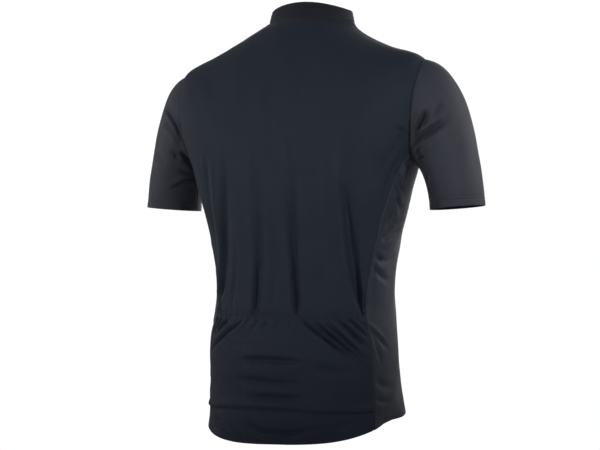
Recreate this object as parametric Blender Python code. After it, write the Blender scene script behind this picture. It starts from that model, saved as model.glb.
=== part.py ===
"""A short-sleeved cycling jersey in its worn shape, with nobody in it.

Every cloth piece is a thin wall between an outer grid of points and an inner one. +X is the wearer's left,
+Y the back and +Z up. The origin is the middle of the neck opening at the height of the back neck seam, where
the wearer's neck and shoulders hold the jersey. Tables are in millimetres and degrees; meshes are in metres.
"""

import math

import bmesh
import bpy
import numpy as np
from mathutils import Matrix, Vector

MM = 0.001

# Cloth and sewing
CLOTH = 1.2 * MM
HEM_CLOTH = 1.9 * MM
SEAM_GAP = 0.3 * MM
LEAST_MITRE = 0.55

# The torso is a stack of rings from the neck seam down to the hem. Each ring is a squared ellipse through its
# side, back and front points; "sweep" says how flat its back half hangs, "lean" how much lower its left is.
RING_COLUMNS = (
    "half_width", "side_y", "back_y", "front_y",
    "side_z", "back_z", "front_z",
    "square", "sweep", "lean",
)
RINGS = (
    (71.5, 2, 57, -70, 0, 1, -60, 2.0, 2.0, 0),  # neck seam
    (86, 6, 74, -84, -13, -14, -78, 2.0, 2.0, -3),  # foot of the neck
    (122, 20, 98, -100, -34, -50, -108, 2.1, 2.0, -2),  # slope of the shoulder
    (166, 32, 117, -108, -55, -92, -136, 2.25, 2.2, 1.5),  # shoulder
    (207, 40, 130, -112, -77, -132, -160, 2.3, 2.6, 4),  # shoulder point
    (214, 42, 136, -113, -128, -168, -186, 2.45, 2.4, 2),  # upper armhole
    (206, 42, 140, -113, -182, -200, -212, 2.55, 2.1, 1),  # shoulder blades
    (187, 42, 141, -112, -236, -238, -244, 2.5, 2.0, 0),  # underarm
    (173, 40, 138, -108, -290, -290, -290, 2.4, 2.0, 0),  # ribs
    (160, 38, 131, -103, -345, -345, -340, 2.3, 2.0, 0),  # small of the back
    (149, 37, 125, -98, -405, -405, -395, 2.3, 2.0, 0),  # waist
    (149, 38, 125, -94, -465, -468, -445, 2.3, 2.0, 0),  # pocket mouths
    (155, 43, 137, -92, -528, -530, -505, 2.3, 2.3, 3),  # pockets
    (158, 35, 136, -99, -596, -603, -560, 2.3, 2.8, 6),  # pocket foot
    (164, 30, 135, -107, -647, -676, -605, 2.3, 3.2, 10),  # hem
)
HEM_RING = len(RINGS) - 1
SHOULDER_RING = 4.0
POCKET_MOUTH_RING = 11.0
POCKET_TOP_RING = 11.19
POCKET_FOOT_RING = 13.27

# The armhole is a closed curve on the torso: turn 0 is the shoulder point, 90 the back and 180 the underarm.
ARMHOLE_COLUMNS = ("turn", "angle", "ring")
ARMHOLE = (
    (0, 90.0, SHOULDER_RING),
    (40, 79.0, 4.28),
    (70, 71.5, 4.75),
    (100, 69.5, 5.4),
    (130, 74.0, 6.1),
    (155, 82.0, 6.65),
    (180, 93.0, 6.9),
    (205, 104.0, 6.65),
    (230, 110.0, 6.1),
    (260, 112.0, 5.4),
    (290, 108.5, 4.75),
    (320, 101.0, 4.28),
)
BACK_CORNER_TURN = 155.0
FRONT_CORNER_TURN = 205.0

# Seams of the side panels, from the underarm to the hem
SIDE_SEAM_COLUMNS = ("ring", "back_angle", "front_angle")
SIDE_SEAMS = (
    (6.65, 82.0, 104.0),
    (7.05, 77.5, 106.5),
    (7.75, 71.0, 110.0),
    (8.5, 66.0, 113.0),
    (9.5, 63.0, 116.0),
    (10.5, 59.5, 118.0),
    (11.1, 57.5, 119.0),
    (11.8, 61.5, 119.0),
    (12.5, 62.5, 119.0),
    (14.0, 59.0, 120.0),
)

# Sleeves leave the armhole along these directions, and end in a flat oval cuff
SLEEVE_START_COLUMNS = ("turn", "outward", "backward", "upward", "reach")
SLEEVE_START = (
    (0, 0.98, -0.14, -0.04, 205),
    (35, 0.94, 0.04, -0.24, 150),
    (90, 0.68, 0.08, -0.72, 110),
    (180, 0.78, -0.10, -0.62, 75),
    (270, 0.75, -0.33, -0.58, 160),
    (325, 0.97, -0.24, 0.10, 200),
)
CUFF_CENTRE = (253.5 * MM, 9 * MM, -304 * MM)
CUFF_HALF_WIDTH = 42.5 * MM
CUFF_HALF_DEPTH = 56 * MM
CUFF_TILT = math.radians(5)
CUFF_REACH = 95 * MM

# Top edge of the stand-up collar, written like a ring
COLLAR_TOP = (69, 0, 48, -62, 18, 29.3, -34)

# Folds. A row runs through three places; "peak" is where along it the fold is deepest, from 0 to 1.
# A positive depth is a trough with soft shoulders, a negative one a ridge.
FOLD_COLUMNS = ("u1", "v1", "u2", "v2", "u3", "v3", "peak", "width", "depth")
TORSO_FOLDS = (
    # long upright folds of the back, gathered by the pocket elastic
    (22, 6.2, 34, 8.6, 54, 11.0, 0.85, 15, 4.5),
    (6, 6.4, 10, 8.6, 16, 11.0, 0.85, 13, 4.0),
    (-6, 4.6, -7, 8.0, -9, 11.0, 0.88, 14, 3.5),
    (-30, 6.6, -37, 8.8, -54, 11.0, 0.85, 15, 6.0),
    # drags across the pockets
    (52, 11.2, 60, 11.6, 67, 12.1, 0.4, 9, 2.5),
    (24, 11.2, 38, 11.6, 53, 12.1, 0.3, 9, 3.0),
    (-14, 11.2, -30, 11.7, -47, 12.3, 0.4, 9, 3.0),
    (-28, 11.2, -42, 11.6, -60, 12.1, 0.4, 9, 3.0),
    (20, 12.2, 4, 12.25, -12, 12.15, 0.5, 10, 2.0),
    # tail
    (12, 13.4, 0, 13.65, -20, 13.6, 0.4, 10, 3.0),
    # side panels, right then left
    (-72, 7.4, -82, 8.0, -92, 8.3, 0.5, 9, 3.0),
    (-72, 8.8, -84, 9.1, -98, 9.3, 0.4, 9, 3.0),
    (-64, 9.5, -80, 9.8, -98, 10.0, 0.4, 10, 3.0),
    (-66, 11.4, -78, 11.8, -92, 12.1, 0.3, 9, 2.5),
    (74, 7.5, 84, 8.0, 94, 8.4, 0.5, 9, 3.0),
    (68, 9.0, 82, 9.3, 96, 9.6, 0.4, 9, 3.0),
    (66, 11.3, 80, 11.7, 94, 12.0, 0.3, 9, 2.5),
    # fronts: drags from the underarms and soft folds over the waist
    (112, 6.9, 126, 7.3, 142, 7.9, 0.25, 13, 3.5),
    (-112, 6.9, -128, 7.4, -146, 7.8, 0.25, 13, 3.5),
    (126, 8.6, 130, 9.8, 128, 11.2, 0.6, 14, 4.0),
    (-124, 8.4, -130, 9.6, -128, 11.0, 0.6, 14, 4.0),
    (150, 9.2, 148, 10.4, 152, 11.8, 0.6, 14, 3.0),
    (-152, 9.6, -149, 10.8, -153, 12.2, 0.5, 14, 3.0),
)
LEFT_SLEEVE_FOLDS = (
    (44, 0.30, 104, 0.14, 150, 0.06, 0.75, 11, 5.0),
    (114, 0.76, 150, 0.55, 178, 0.34, 0.6, 10, 3.0),
    (250, 0.12, 285, 0.26, 320, 0.40, 0.3, 11, 4.0),
)
RIGHT_SLEEVE_FOLDS = (
    (74, 0.26, 102, 0.21, 130, 0.13, 0.6, 9, 5.0),
    (40, 0.37, 88, 0.36, 136, 0.25, 0.7, 11, 4.0),
    (246, 0.14, 284, 0.28, 318, 0.38, 0.3, 11, 4.0),
)
FOLD_STEPS = 13
FOLD_SHOULDER = 1.2

# Grid steps. Rows of all torso pieces and of the zip share these rings, so that their facets match.
NECK_ROWS = 9
ARMHOLE_ROWS = 11
ARMHOLE_SPREAD = 0.75
UPPER_SIDE_ROWS = 14
POCKET_ROWS = 7
TAIL_ROWS = 3
SIDE_COLUMNS = 6
FRONT_COLUMNS = 8
SLEEVE_ROWS = 12
COLLAR_ROWS = 3

# Pockets, sewn to the back along their foot, their sides and two dividing lines
POCKET_DIVIDERS = (-0.226, 0.323)
POCKET_COLUMNS = (8, 5, 7)
POCKET_GAP = 0.4 * MM
POCKET_LIFT = 2.6 * MM
POCKET_SIDE_INSET = 0.6 * MM
BAND_CLOTH = 1.8 * MM

# Front zip
ZIP_EDGE = 3.2 * MM
CHAIN_HALF_WIDTH = 2.9 * MM
CHAIN_PROUD = 0.3 * MM
TAPE_HALF_WIDTH = 7 * MM
TAPE_CLOTH = 0.7 * MM
TAPE_GAP = 0.4 * MM
SLIDER_UP = 0.76
SLIDER_LENGTH = 9 * MM
SLIDER_HALF_WIDTH = 3.9 * MM
SLIDER_NOSE_HALF_WIDTH = 2.6 * MM
SLIDER_PLATE = 1.4 * MM
PIN_HEIGHT = 1.2 * MM
CROWN_HALF_WIDTH = 1.1 * MM
CROWN_INNER = 1.3 * MM
CROWN_OUTER = 2.4 * MM
PULL_THICKNESS = 1.2 * MM
PULL_HALF_WIDTH = 2.7 * MM
PULL_WINDOW_HALF_WIDTH = 1.55 * MM
PULL_WINDOW_LENGTH = 4.4 * MM
PULL_LENGTH = 20 * MM
PULL_END_HALF_WIDTH = 2.1 * MM
PULL_END_STEPS = 6

# Finishes: colour, roughness and metallic value
FINISHES = {
    "back_knit": ((0.017, 0.020, 0.026), 0.85, 0.0),
    "side_knit": ((0.024, 0.026, 0.033), 0.85, 0.0),
    "sleeve_knit": ((0.025, 0.027, 0.035), 0.80, 0.0),
    "band_elastic": ((0.015, 0.017, 0.022), 0.90, 0.0),
    "zip_cloth": ((0.012, 0.013, 0.016), 0.80, 0.0),
    "zip_metal": ((0.030, 0.031, 0.034), 0.40, 0.8),
}


class Spline:
    """A natural cubic through rows of values, or a closed one when it has a period."""

    def __init__(self, knots, rows, period=None):
        knots, rows = np.array(knots, float), np.array(rows, float)
        if period:
            wrap = 3
            knots = np.concatenate([knots[-wrap:] - period, knots, knots[:wrap] + period])
            rows = np.concatenate([rows[-wrap:], rows, rows[:wrap]])
        step = np.diff(knots)
        slope = np.diff(rows, axis=0) / step[:, None]
        matrix = np.eye(len(knots))
        right = np.zeros_like(rows)
        for i in range(1, len(knots) - 1):
            matrix[i, i - 1 : i + 2] = step[i - 1], 2 * (step[i - 1] + step[i]), step[i]
            right[i] = 6 * (slope[i] - slope[i - 1])
        self.knots, self.rows, self.period = knots, rows, period
        self.curve = np.linalg.solve(matrix, right)

    def __call__(self, at):
        at = np.asarray(at, float)
        if self.period:
            at = at % self.period
        i = np.clip(np.searchsorted(self.knots, at, side="right") - 1, 0, len(self.knots) - 2)
        step = (self.knots[i + 1] - self.knots[i])[..., None]
        after = (at - self.knots[i])[..., None]
        before = step - after
        bend = (self.curve[i] * before**3 + self.curve[i + 1] * after**3) / (6 * step)
        start = self.rows[i] / step - self.curve[i] * step / 6
        end = self.rows[i + 1] / step - self.curve[i + 1] * step / 6
        return bend + start * before + end * after


def table(rows, lengths):
    """Rows of a table as an array, with the named columns of lengths turned from millimetres to metres."""
    return np.array(rows, float) * np.where(lengths, MM, 1.0)


ring_at = Spline(range(len(RINGS)), table(RINGS, [name not in ("square", "sweep") for name in RING_COLUMNS]))
armhole_at = Spline([row[0] for row in ARMHOLE], [row[1:] for row in ARMHOLE], 360.0)
side_seams_at = Spline([row[0] for row in SIDE_SEAMS], [row[1:] for row in SIDE_SEAMS])
sleeve_start_at = Spline(
    [row[0] for row in SLEEVE_START],
    table([row[1:] for row in SLEEVE_START], [name == "reach" for name in SLEEVE_START_COLUMNS[1:]]),
    360.0,
)


def signed_power(value, power):
    return np.sign(value) * np.abs(value) ** power


def unit(vectors):
    return vectors / np.linalg.norm(vectors, axis=-1, keepdims=True)


def torso_form(angle, ring):
    """The torso with no folds. The angle runs from centre back, + towards the wearer's left."""
    angle, ring = np.broadcast_arrays(np.radians(angle), ring)
    half_width, side_y, back_y, front_y, side_z, back_z, front_z, square, sweep, lean = np.moveaxis(
        ring_at(ring), -1, 0
    )
    across, towards_back = np.sin(angle), np.cos(angle)
    is_back = towards_back > 0
    depth = np.where(is_back, back_y - side_y, side_y - front_y)
    back_rise = (back_z - side_z) * (1 - np.abs(across) ** sweep)
    front_rise = (front_z - side_z) * towards_back**2
    x = half_width * signed_power(across, 2 / square)
    y = side_y + depth * signed_power(towards_back, 2 / square)
    z = side_z + np.where(is_back, back_rise, front_rise) - lean * across
    return np.stack([x, y, z], axis=-1)


def through(first, middle, last, share):
    """A parabola that passes its three values at shares 0, 0.5 and 1."""
    near, far = (1 - share) * (1 - 2 * share), share * (2 * share - 1)
    return first * near + 4 * middle * share * (1 - share) + last * far


def smooth(share):
    share = np.clip(share, 0, 1)
    return share * share * (3 - 2 * share)


def fold_depth(points, form, folds):
    """How far the folds of a form press each of its points in."""
    total = np.zeros(points.shape[:-1])
    share = np.linspace(0, 1, FOLD_STEPS)
    for u1, v1, u2, v2, u3, v3, peak, width, depth in folds:
        path = form(through(u1, u2, u3, share), through(v1, v2, v3, share))
        run = np.diff(path, axis=0)
        offset = points[..., None, :] - path[:-1]
        part = np.clip((offset * run).sum(-1) / (run * run).sum(-1), 0, 1)
        distance = np.linalg.norm(offset - part[..., None] * run, axis=-1)
        nearest = distance.argmin(-1)[..., None]
        along = (nearest + np.take_along_axis(part, nearest, -1))[..., 0] / len(run)
        away = (np.take_along_axis(distance, nearest, -1)[..., 0] / (width * MM)) ** 2
        fade = np.minimum(smooth(along / peak), smooth((1 - along) / (1 - peak)))
        total += depth * MM * fade * (1 - FOLD_SHOULDER * away) * np.exp(-away)
    return total


def mitre(first, second):
    """Halfway between two walls' normals, longer than 1 so that both walls keep their thickness at a seam."""
    halfway = unit(first + second)
    return halfway / np.maximum((halfway * first).sum(-1, keepdims=True), LEAST_MITRE)


def normals_of(surface, u, v, step_u, step_v, facing=1.0):
    along_u = surface(u + step_u, v) - surface(u - step_u, v)
    along_v = surface(u, v + step_v) - surface(u, v - step_v)
    return facing * unit(np.cross(along_u, along_v))


def torso_form_normals(angle, ring):
    return normals_of(torso_form, angle, ring, 0.5, 0.02)


def torso(angle, ring):
    """The torso with its folds."""
    points = torso_form(angle, ring)
    depth = fold_depth(points, torso_form, TORSO_FOLDS)
    return points - depth[..., None] * torso_form_normals(angle, ring)


def torso_normals(angle, ring):
    return normals_of(torso, angle, ring, 1.0, 0.04)


def armhole(turn, side):
    """Points of the armhole seam; side is 1 for the wearer's left and -1 for the right."""
    angle, ring = np.moveaxis(armhole_at(turn), -1, 0)
    return torso(side * angle, ring)


class Sleeve:
    """One sleeve: turn runs round it as on the armhole, and along from 0 at the armhole to 1 at the cuff."""

    def __init__(self, side, folds):
        self.side, self.folds = side, folds

    def form(self, turn, along):
        turn, along = np.broadcast_arrays(turn, along)
        start = armhole(turn, self.side)
        outward, backward, upward, reach = np.moveaxis(sleeve_start_at(turn), -1, 0)
        leave = unit(np.stack([self.side * outward, backward, upward], axis=-1)) * reach[..., None]
        angle = np.radians(turn)
        across = CUFF_HALF_WIDTH * np.cos(angle)
        end = np.stack(
            [
                self.side * (CUFF_CENTRE[0] + across * math.cos(CUFF_TILT)),
                CUFF_CENTRE[1] + CUFF_HALF_DEPTH * np.sin(angle),
                CUFF_CENTRE[2] + across * math.sin(CUFF_TILT),
            ],
            axis=-1,
        )
        arrive = np.array([self.side * math.sin(CUFF_TILT), 0, -math.cos(CUFF_TILT)]) * CUFF_REACH
        t = along[..., None]
        return (
            (2 * t**3 - 3 * t**2 + 1) * start
            + (t**3 - 2 * t**2 + t) * leave
            + (3 * t**2 - 2 * t**3) * end
            + (t**3 - t**2) * arrive
        )

    def surface(self, turn, along):
        points = self.form(turn, along)
        depth = fold_depth(points, self.form, self.folds) * smooth(along / 0.05)
        return points - depth[..., None] * normals_of(self.form, turn, along, 1.0, 0.01, -self.side)

    def normals(self, turn, along):
        return normals_of(self.surface, turn, along, 2.0, 0.01, -self.side)

    def seam_normals(self, turn):
        angle, ring = np.moveaxis(armhole_at(turn), -1, 0)
        return mitre(torso_normals(self.side * angle, ring), self.normals(turn, np.full_like(angle, 0.02)))


def collar_surface(angle, up):
    """The collar: up runs from 0 at the neck seam to 1 at its top edge."""
    angle, up = np.broadcast_arrays(angle, up)
    base = torso(angle, 0.0)
    half_width, side_y, back_y, front_y, side_z, back_z, front_z = np.array(COLLAR_TOP) * MM
    across, towards_back = np.sin(np.radians(angle)), np.cos(np.radians(angle))
    is_back = towards_back > 0
    top = np.stack(
        [
            half_width * across,
            side_y + np.where(is_back, back_y - side_y, side_y - front_y) * towards_back,
            side_z + np.where(is_back, back_z - side_z, front_z - side_z) * towards_back**2,
        ],
        axis=-1,
    )
    return base + (top - base) * up[..., None]


def collar_normals(angle, up):
    return normals_of(collar_surface, angle, up, 1.0, 0.05, -1.0)


def neck_normals(angle):
    return mitre(torso_normals(angle, 0.0), collar_normals(angle, 0.0))


def finish(name):
    """The named material, made once."""
    material = bpy.data.materials.get(name)
    if material is None:
        colour, roughness, metallic = FINISHES[name]
        material = bpy.data.materials.new(name)
        material.use_nodes = True
        shader = material.node_tree.nodes["Principled BSDF"]
        shader.inputs["Base Color"].default_value = (*colour, 1.0)
        shader.inputs["Roughness"].default_value = roughness
        shader.inputs["Metallic"].default_value = metallic
    return material


def add_object(name, points, faces, material):
    """A mesh object with its faces pointing out."""
    faces = np.asarray(faces)
    corners = points[faces]
    if np.linalg.det(corners - points.mean(axis=0)).sum() < 0:
        faces = faces[:, ::-1]
    mesh = bpy.data.meshes.new(name)
    mesh.from_pydata(points.tolist(), [], faces.tolist())
    mesh.shade_smooth()
    mesh.set_sharp_from_angle(angle=math.radians(50))
    mesh.materials.append(finish(material))
    body = bpy.data.objects.new(name, mesh)
    bpy.context.collection.objects.link(body)
    return body


def trimmed(points, normals, edge, amount):
    """The grid with one sewn edge drawn back along the cloth."""
    grid, facing = points.copy(), normals
    if edge in ("left", "right"):
        grid, facing = grid.transpose(1, 0, 2), normals.transpose(1, 0, 2)
    first, second = (0, 1) if edge in ("top", "left") else (-1, -2)
    along = np.gradient(grid[first], axis=0)
    inward = unit(np.cross(along, facing[first]))
    inward *= np.sign(((grid[second] - grid[first]) * inward).sum(-1, keepdims=True))
    grid[first] += inward * amount
    return grid.transpose(1, 0, 2) if edge in ("left", "right") else grid


def wall(name, outer, inner, material, tube=False, turned=None):
    """A closed wall between two equal grids of points. A tube's last column is sewn to its first.

    Each square is split from its upper left to its lower right, or the other way in the turned columns, so
    that the facets run with the folds there.
    """
    rows, columns = outer.shape[:2]
    count = rows * columns
    index = np.arange(count).reshape(rows, columns)
    if tube:
        index = np.column_stack([index, index[:, :1]])
    faces = []

    def quad(a, b, c, d):
        faces.extend(((a, b, c), (a, c, d)))

    for i in range(rows - 1):
        for j in range(index.shape[1] - 1):
            square = [index[i, j], index[i + 1, j], index[i + 1, j + 1], index[i, j + 1]]
            if turned is not None and turned[j]:
                square = square[1:] + square[:1]
            a, b, c, d = square
            quad(a, b, c, d)
            faces.extend(((count + a, count + c, count + b), (count + a, count + d, count + c)))
    border = [index[0, ::-1], index[-1]]
    if not tube:
        border += [index[:, 0], index[::-1, -1]]
    for line in border:
        for a, b in zip(line[:-1], line[1:]):
            quad(a, count + a, count + b, b)
    points = np.concatenate([outer.reshape(-1, 3), inner.reshape(-1, 3)])
    return add_object(name, points, faces, material)


def cloth(name, points, normals, material, sewn, thickness=CLOTH, turned=None):
    """A cloth wall under a grid of outer points, drawn back by half the seam gap along its sewn edges."""
    for edge in sewn:
        points = trimmed(points, normals, edge, SEAM_GAP / 2)
    inner = points - normals * np.broadcast_to(thickness, points.shape[:2])[..., None]
    return wall(name, points, inner, material, turned=turned)


def armhole_shares():
    """Rows down an armhole, further apart at its top, where it runs level."""
    return np.linspace(0, 1, ARMHOLE_ROWS + 1) ** ARMHOLE_SPREAD


def back_turns():
    return BACK_CORNER_TURN * armhole_shares()


def front_turns():
    return 360 + (FRONT_CORNER_TURN - 360) * armhole_shares()


def neck_rings():
    return np.concatenate([[0.0], np.linspace(1.0, SHOULDER_RING, NECK_ROWS + 1)])


def side_rings():
    """Rings from the underarm corner to the hem, with a row at each edge of the pocket band and pockets."""
    corner = armhole_at(BACK_CORNER_TURN)[1]
    return np.concatenate(
        [
            np.linspace(corner, POCKET_MOUTH_RING, UPPER_SIDE_ROWS + 1),
            np.linspace(POCKET_TOP_RING, POCKET_FOOT_RING, POCKET_ROWS + 1),
            np.linspace(POCKET_FOOT_RING, HEM_RING, TAIL_ROWS + 1)[1:],
        ]
    )


def panel_rows(turns, seam_column):
    """For each row of a back or front panel its ring and the angle of its side edge, from neck to hem."""
    armhole_angle, armhole_ring = armhole_at(turns).T
    lower = side_rings()[1:]
    rings = np.concatenate([neck_rings(), armhole_ring[1:], lower])
    shoulder = np.full(len(neck_rings()), armhole_angle[0])
    edges = np.concatenate([shoulder, armhole_angle[1:], side_seams_at(lower)[:, seam_column]])
    return rings, edges


def hem_thickness(rings, columns):
    """Cloth thickness row by row: the hem is turned up, so it is thicker."""
    thick = np.where(rings > (POCKET_FOOT_RING + HEM_RING) / 2, HEM_CLOTH, CLOTH)
    return np.repeat(thick[:, None], columns, axis=1)


def with_seam_normals(normals, angles, turns, sides):
    """Torso normals with those on the neck seam and the armholes swapped for the shared mitres."""
    normals[0] = neck_normals(angles[0])
    first = len(neck_rings()) - 1
    for column, sleeve in sides:
        normals[first : first + len(turns), column] = sleeve.seam_normals(turns)
    return normals


def back_columns():
    """Columns of the back as shares of its half width, with one on each dividing line of the pockets."""
    stops = (-1.0, *POCKET_DIVIDERS, 1.0)
    parts = [np.linspace(a, b, n + 1)[:-1] for a, b, n in zip(stops[:-1], stops[1:], POCKET_COLUMNS)]
    return np.concatenate([*parts, [1.0]])


def right_half():
    """Which columns of squares of the back lie on the wearer's right, where the folds slant the other way."""
    return back_columns()[:-1] < 0


def build_back(left, right):
    """The back panel, with the pockets and their elastic band lying on it."""
    rings, edges = panel_rows(back_turns(), 0)
    columns = back_columns()
    angles = edges[:, None] * columns
    points = torso(angles, rings[:, None])
    normals = torso_normals(angles, rings[:, None])
    normals = with_seam_normals(normals, angles, back_turns(), ((-1, left), (0, right)))
    cloth("back_panel", points, normals, "back_knit", ("top", "left", "right"),
          hem_thickness(rings, len(columns)), right_half())

    mouth = int(np.argmin(np.abs(rings - POCKET_MOUTH_RING)))
    foot = int(np.argmin(np.abs(rings - POCKET_FOOT_RING)))
    build_pocket(points[mouth + 1 : foot + 1], normals[mouth + 1 : foot + 1], columns)
    build_band(points[mouth : mouth + 2], normals[mouth : mouth + 2])


def laid_on(name, points, normals, lift, thickness, material, joined):
    """A piece that lies on a panel: made from the panel's points, moved out."""
    under = points + normals * (POCKET_GAP + lift)[..., None]
    top = under + normals * thickness
    for edge in ("left", "right"):
        under, top = (trimmed(grid, normals, edge, POCKET_SIDE_INSET) for grid in (under, top))
    under, top = (trimmed(grid, normals, joined, SEAM_GAP / 2) for grid in (under, top))
    wall(name, top, under, material, turned=right_half())


def build_pocket(points, normals, columns):
    """The pocket cloth, which stands a little off the back between its sewn lines."""
    down = np.linspace(0, 1, len(points))[:, None]
    stops = (-1.0, *POCKET_DIVIDERS, 1.0)
    across = np.zeros(len(columns))
    for start, end in zip(stops[:-1], stops[1:]):
        inside = (columns >= start) & (columns <= end)
        across = np.where(inside, np.sin(math.pi * (columns - start) / (end - start)), across)
    lift = POCKET_LIFT * np.sin(math.pi * down) * across
    laid_on("pocket_panel", points, normals, lift, CLOTH, "back_knit", "top")


def build_band(points, normals):
    laid_on("pocket_band", points, normals, np.zeros(points.shape[:2]), BAND_CLOTH, "band_elastic", "bottom")


def zip_edge_angle(ring, distance):
    """The angle at which the front of a ring lies this far from the centre line."""
    row = ring_at(ring)
    half_width, square = row[..., RING_COLUMNS.index("half_width")], row[..., RING_COLUMNS.index("square")]
    return 180.0 - np.degrees(np.arcsin((distance / half_width) ** (square / 2)))


def build_front(name, side, sleeve):
    """One front, from the shoulder and side seams to the zip."""
    rings, edges = panel_rows(front_turns(), 1)
    share = np.linspace(0, 1, FRONT_COLUMNS + 1)
    angles = side * (edges[:, None] + (zip_edge_angle(rings, ZIP_EDGE) - edges)[:, None] * share)
    points = torso(angles, rings[:, None])
    points[:, -1, 0] = side * ZIP_EDGE
    normals = torso_normals(angles, rings[:, None])
    normals = with_seam_normals(normals, angles, front_turns(), ((0, sleeve),))
    cloth(name, points, normals, "sleeve_knit", ("top", "left"), hem_thickness(rings, len(share)))


def build_side(name, side, sleeve):
    """A side panel: its top edge is the underarm part of the armhole."""
    rings = side_rings()
    turns = np.linspace(BACK_CORNER_TURN, FRONT_CORNER_TURN, SIDE_COLUMNS + 1)
    top_angles, top_rings = armhole_at(turns).T
    seams = side_seams_at(rings)
    share = np.linspace(0, 1, SIDE_COLUMNS + 1)
    down = np.linspace(0, 1, len(rings))[:, None]
    angles = seams[:, :1] + (seams[:, 1:] - seams[:, :1]) * share
    angles[0] = top_angles
    drop = (top_rings - rings[0]) * (1 - down) ** 6
    ring_grid = rings[:, None] + drop
    points = torso(side * angles, ring_grid)
    normals = torso_normals(side * angles, ring_grid)
    normals[0] = sleeve.seam_normals(turns)
    cloth(name, points, normals, "side_knit", ("top", "left", "right"), hem_thickness(rings, len(share)))


def build_sleeve(name, sleeve):
    """A sleeve whose first row has the same points as the edges of the panels round its armhole."""
    underarm = np.linspace(BACK_CORNER_TURN, FRONT_CORNER_TURN, SIDE_COLUMNS + 1)
    turns = np.concatenate([back_turns(), underarm[1:], front_turns()[::-1][1:-1]])
    rows = np.linspace(0, 1, SLEEVE_ROWS + 1)[:, None]
    turn_grid, along = np.broadcast_arrays(turns, rows)
    points = sleeve.surface(turn_grid, along)
    normals = sleeve.normals(turn_grid, along)
    normals[0] = sleeve.seam_normals(turns)
    thickness = np.where(along > 1 - 1.5 / SLEEVE_ROWS, HEM_CLOTH, CLOTH)
    ends = np.concatenate([points[:, -1:], points, points[:, :1]], axis=1)
    facing = np.concatenate([normals[:, -1:], normals, normals[:, :1]], axis=1)
    points = trimmed(ends, facing, "top", SEAM_GAP / 2)[:, 1:-1]
    wall(name, points, points - normals * thickness[..., None], "sleeve_knit", tube=True, turned=turns < 180)


def build_collar():
    """The collar, on the same points as the panels below it, open at the zip."""
    back = back_columns()[1:-1] * 90
    zip_angle = zip_edge_angle(0.0, ZIP_EDGE)
    front = np.linspace(90, zip_angle, FRONT_COLUMNS + 1)
    angles = np.concatenate([-front[::-1], back, front])
    angle_grid, up = np.broadcast_arrays(angles, np.linspace(0, 1, COLLAR_ROWS + 1)[:, None])
    points = collar_surface(angle_grid, up)
    for column, side in ((0, -1), (-1, 1)):
        points[:, column, 0] = side * ZIP_EDGE
    normals = collar_normals(angle_grid, up)
    normals[0] = neck_normals(angles)
    cloth("collar", points, normals, "sleeve_knit", ("top",))


def zip_line(distance):
    """Points and normals down the front, from the collar's top to the hem, this far from the centre."""
    rings, _ = panel_rows(front_turns(), 1)
    up = np.linspace(1, 0, COLLAR_ROWS + 1)[:-1]
    collar_angle = np.full(len(up), zip_edge_angle(0.0, distance))
    torso_angle = zip_edge_angle(rings, distance)
    points = np.concatenate([collar_surface(collar_angle, up), torso(torso_angle, rings)])
    facing = np.concatenate([collar_normals(collar_angle, up), torso_normals(torso_angle, rings)])
    facing[len(up)] = neck_normals(torso_angle[0])
    facing[:, 0] = 0
    points[:, 0] = distance
    return points, facing


def build_zip():
    """The closed zip: a chain between the two fronts, on a tape behind them."""
    chain, facing = zip_line(CHAIN_HALF_WIDTH)
    tape, tape_facing = zip_line(TAPE_HALF_WIDTH)
    step = HEM_CLOTH + TAPE_GAP
    half = [
        chain + facing * CHAIN_PROUD,
        chain - facing * step,
        tape - tape_facing * step,
        tape - tape_facing * (step + TAPE_CLOTH),
    ]
    mirror = np.array([-1, 1, 1])
    section = np.stack([*half, *[line * mirror for line in half[::-1]]], axis=1)
    rows, columns = section.shape[:2]
    index = np.arange(rows * columns).reshape(rows, columns)
    faces = []
    for i in range(rows - 1):
        for j in range(columns):
            beside = (j + 1) % columns
            a, b, c, d = index[i, j], index[i + 1, j], index[i + 1, beside], index[i, beside]
            faces.extend(((a, b, c), (a, c, d)))
    cap = ((0, 1, 6), (0, 6, 7), (1, 2, 3), (1, 3, 4), (1, 4, 6), (4, 5, 6))
    for line, turn in ((index[0], 1), (index[-1], -1)):
        faces.extend(tuple(line[list(corner)][::turn]) for corner in cap)
    return add_object("zip_tape", section.reshape(-1, 3), faces, "zip_cloth")


def zip_frame():
    """The slider's own frame on the collar: X across the zip, Y up it, Z out of it, from the chain's face."""
    angle = np.full(2, zip_edge_angle(0.0, CHAIN_HALF_WIDTH))
    low, high = collar_surface(angle, np.array([SLIDER_UP, 1.0])) * (0, 1, 1)
    out = unit(collar_normals(angle, np.full(2, SLIDER_UP))[0] * (0, 1, 1))
    frame = Matrix((Vector((1, 0, 0)), Vector(unit(high - low)), Vector(out))).transposed().to_4x4()
    frame.translation = Vector(low + out * CHAIN_PROUD)
    return frame


def plate(name, outline, depth, material):
    """A flat outline in its object's XY plane, with half its depth on either side."""
    shape = bmesh.new()
    face = shape.faces.new([shape.verts.new((x, y, -depth / 2)) for x, y in outline])
    raised = bmesh.ops.extrude_face_region(shape, geom=[face])["geom"]
    corners = [part for part in raised if isinstance(part, bmesh.types.BMVert)]
    bmesh.ops.translate(shape, verts=corners, vec=(0, 0, depth))
    bmesh.ops.recalc_face_normals(shape, faces=shape.faces)
    mesh = bpy.data.meshes.new(name)
    shape.to_mesh(mesh)
    shape.free()
    mesh.materials.append(finish(material))
    body = bpy.data.objects.new(name, mesh)
    bpy.context.collection.objects.link(body)
    return body


def combine(body, other, operation):
    """Joins a helper to a body, or cuts it away."""
    other.hide_render = True
    other.display_type = "WIRE"
    modifier = body.modifiers.new(operation.title(), "BOOLEAN")
    modifier.operation = operation
    modifier.object = other


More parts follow.
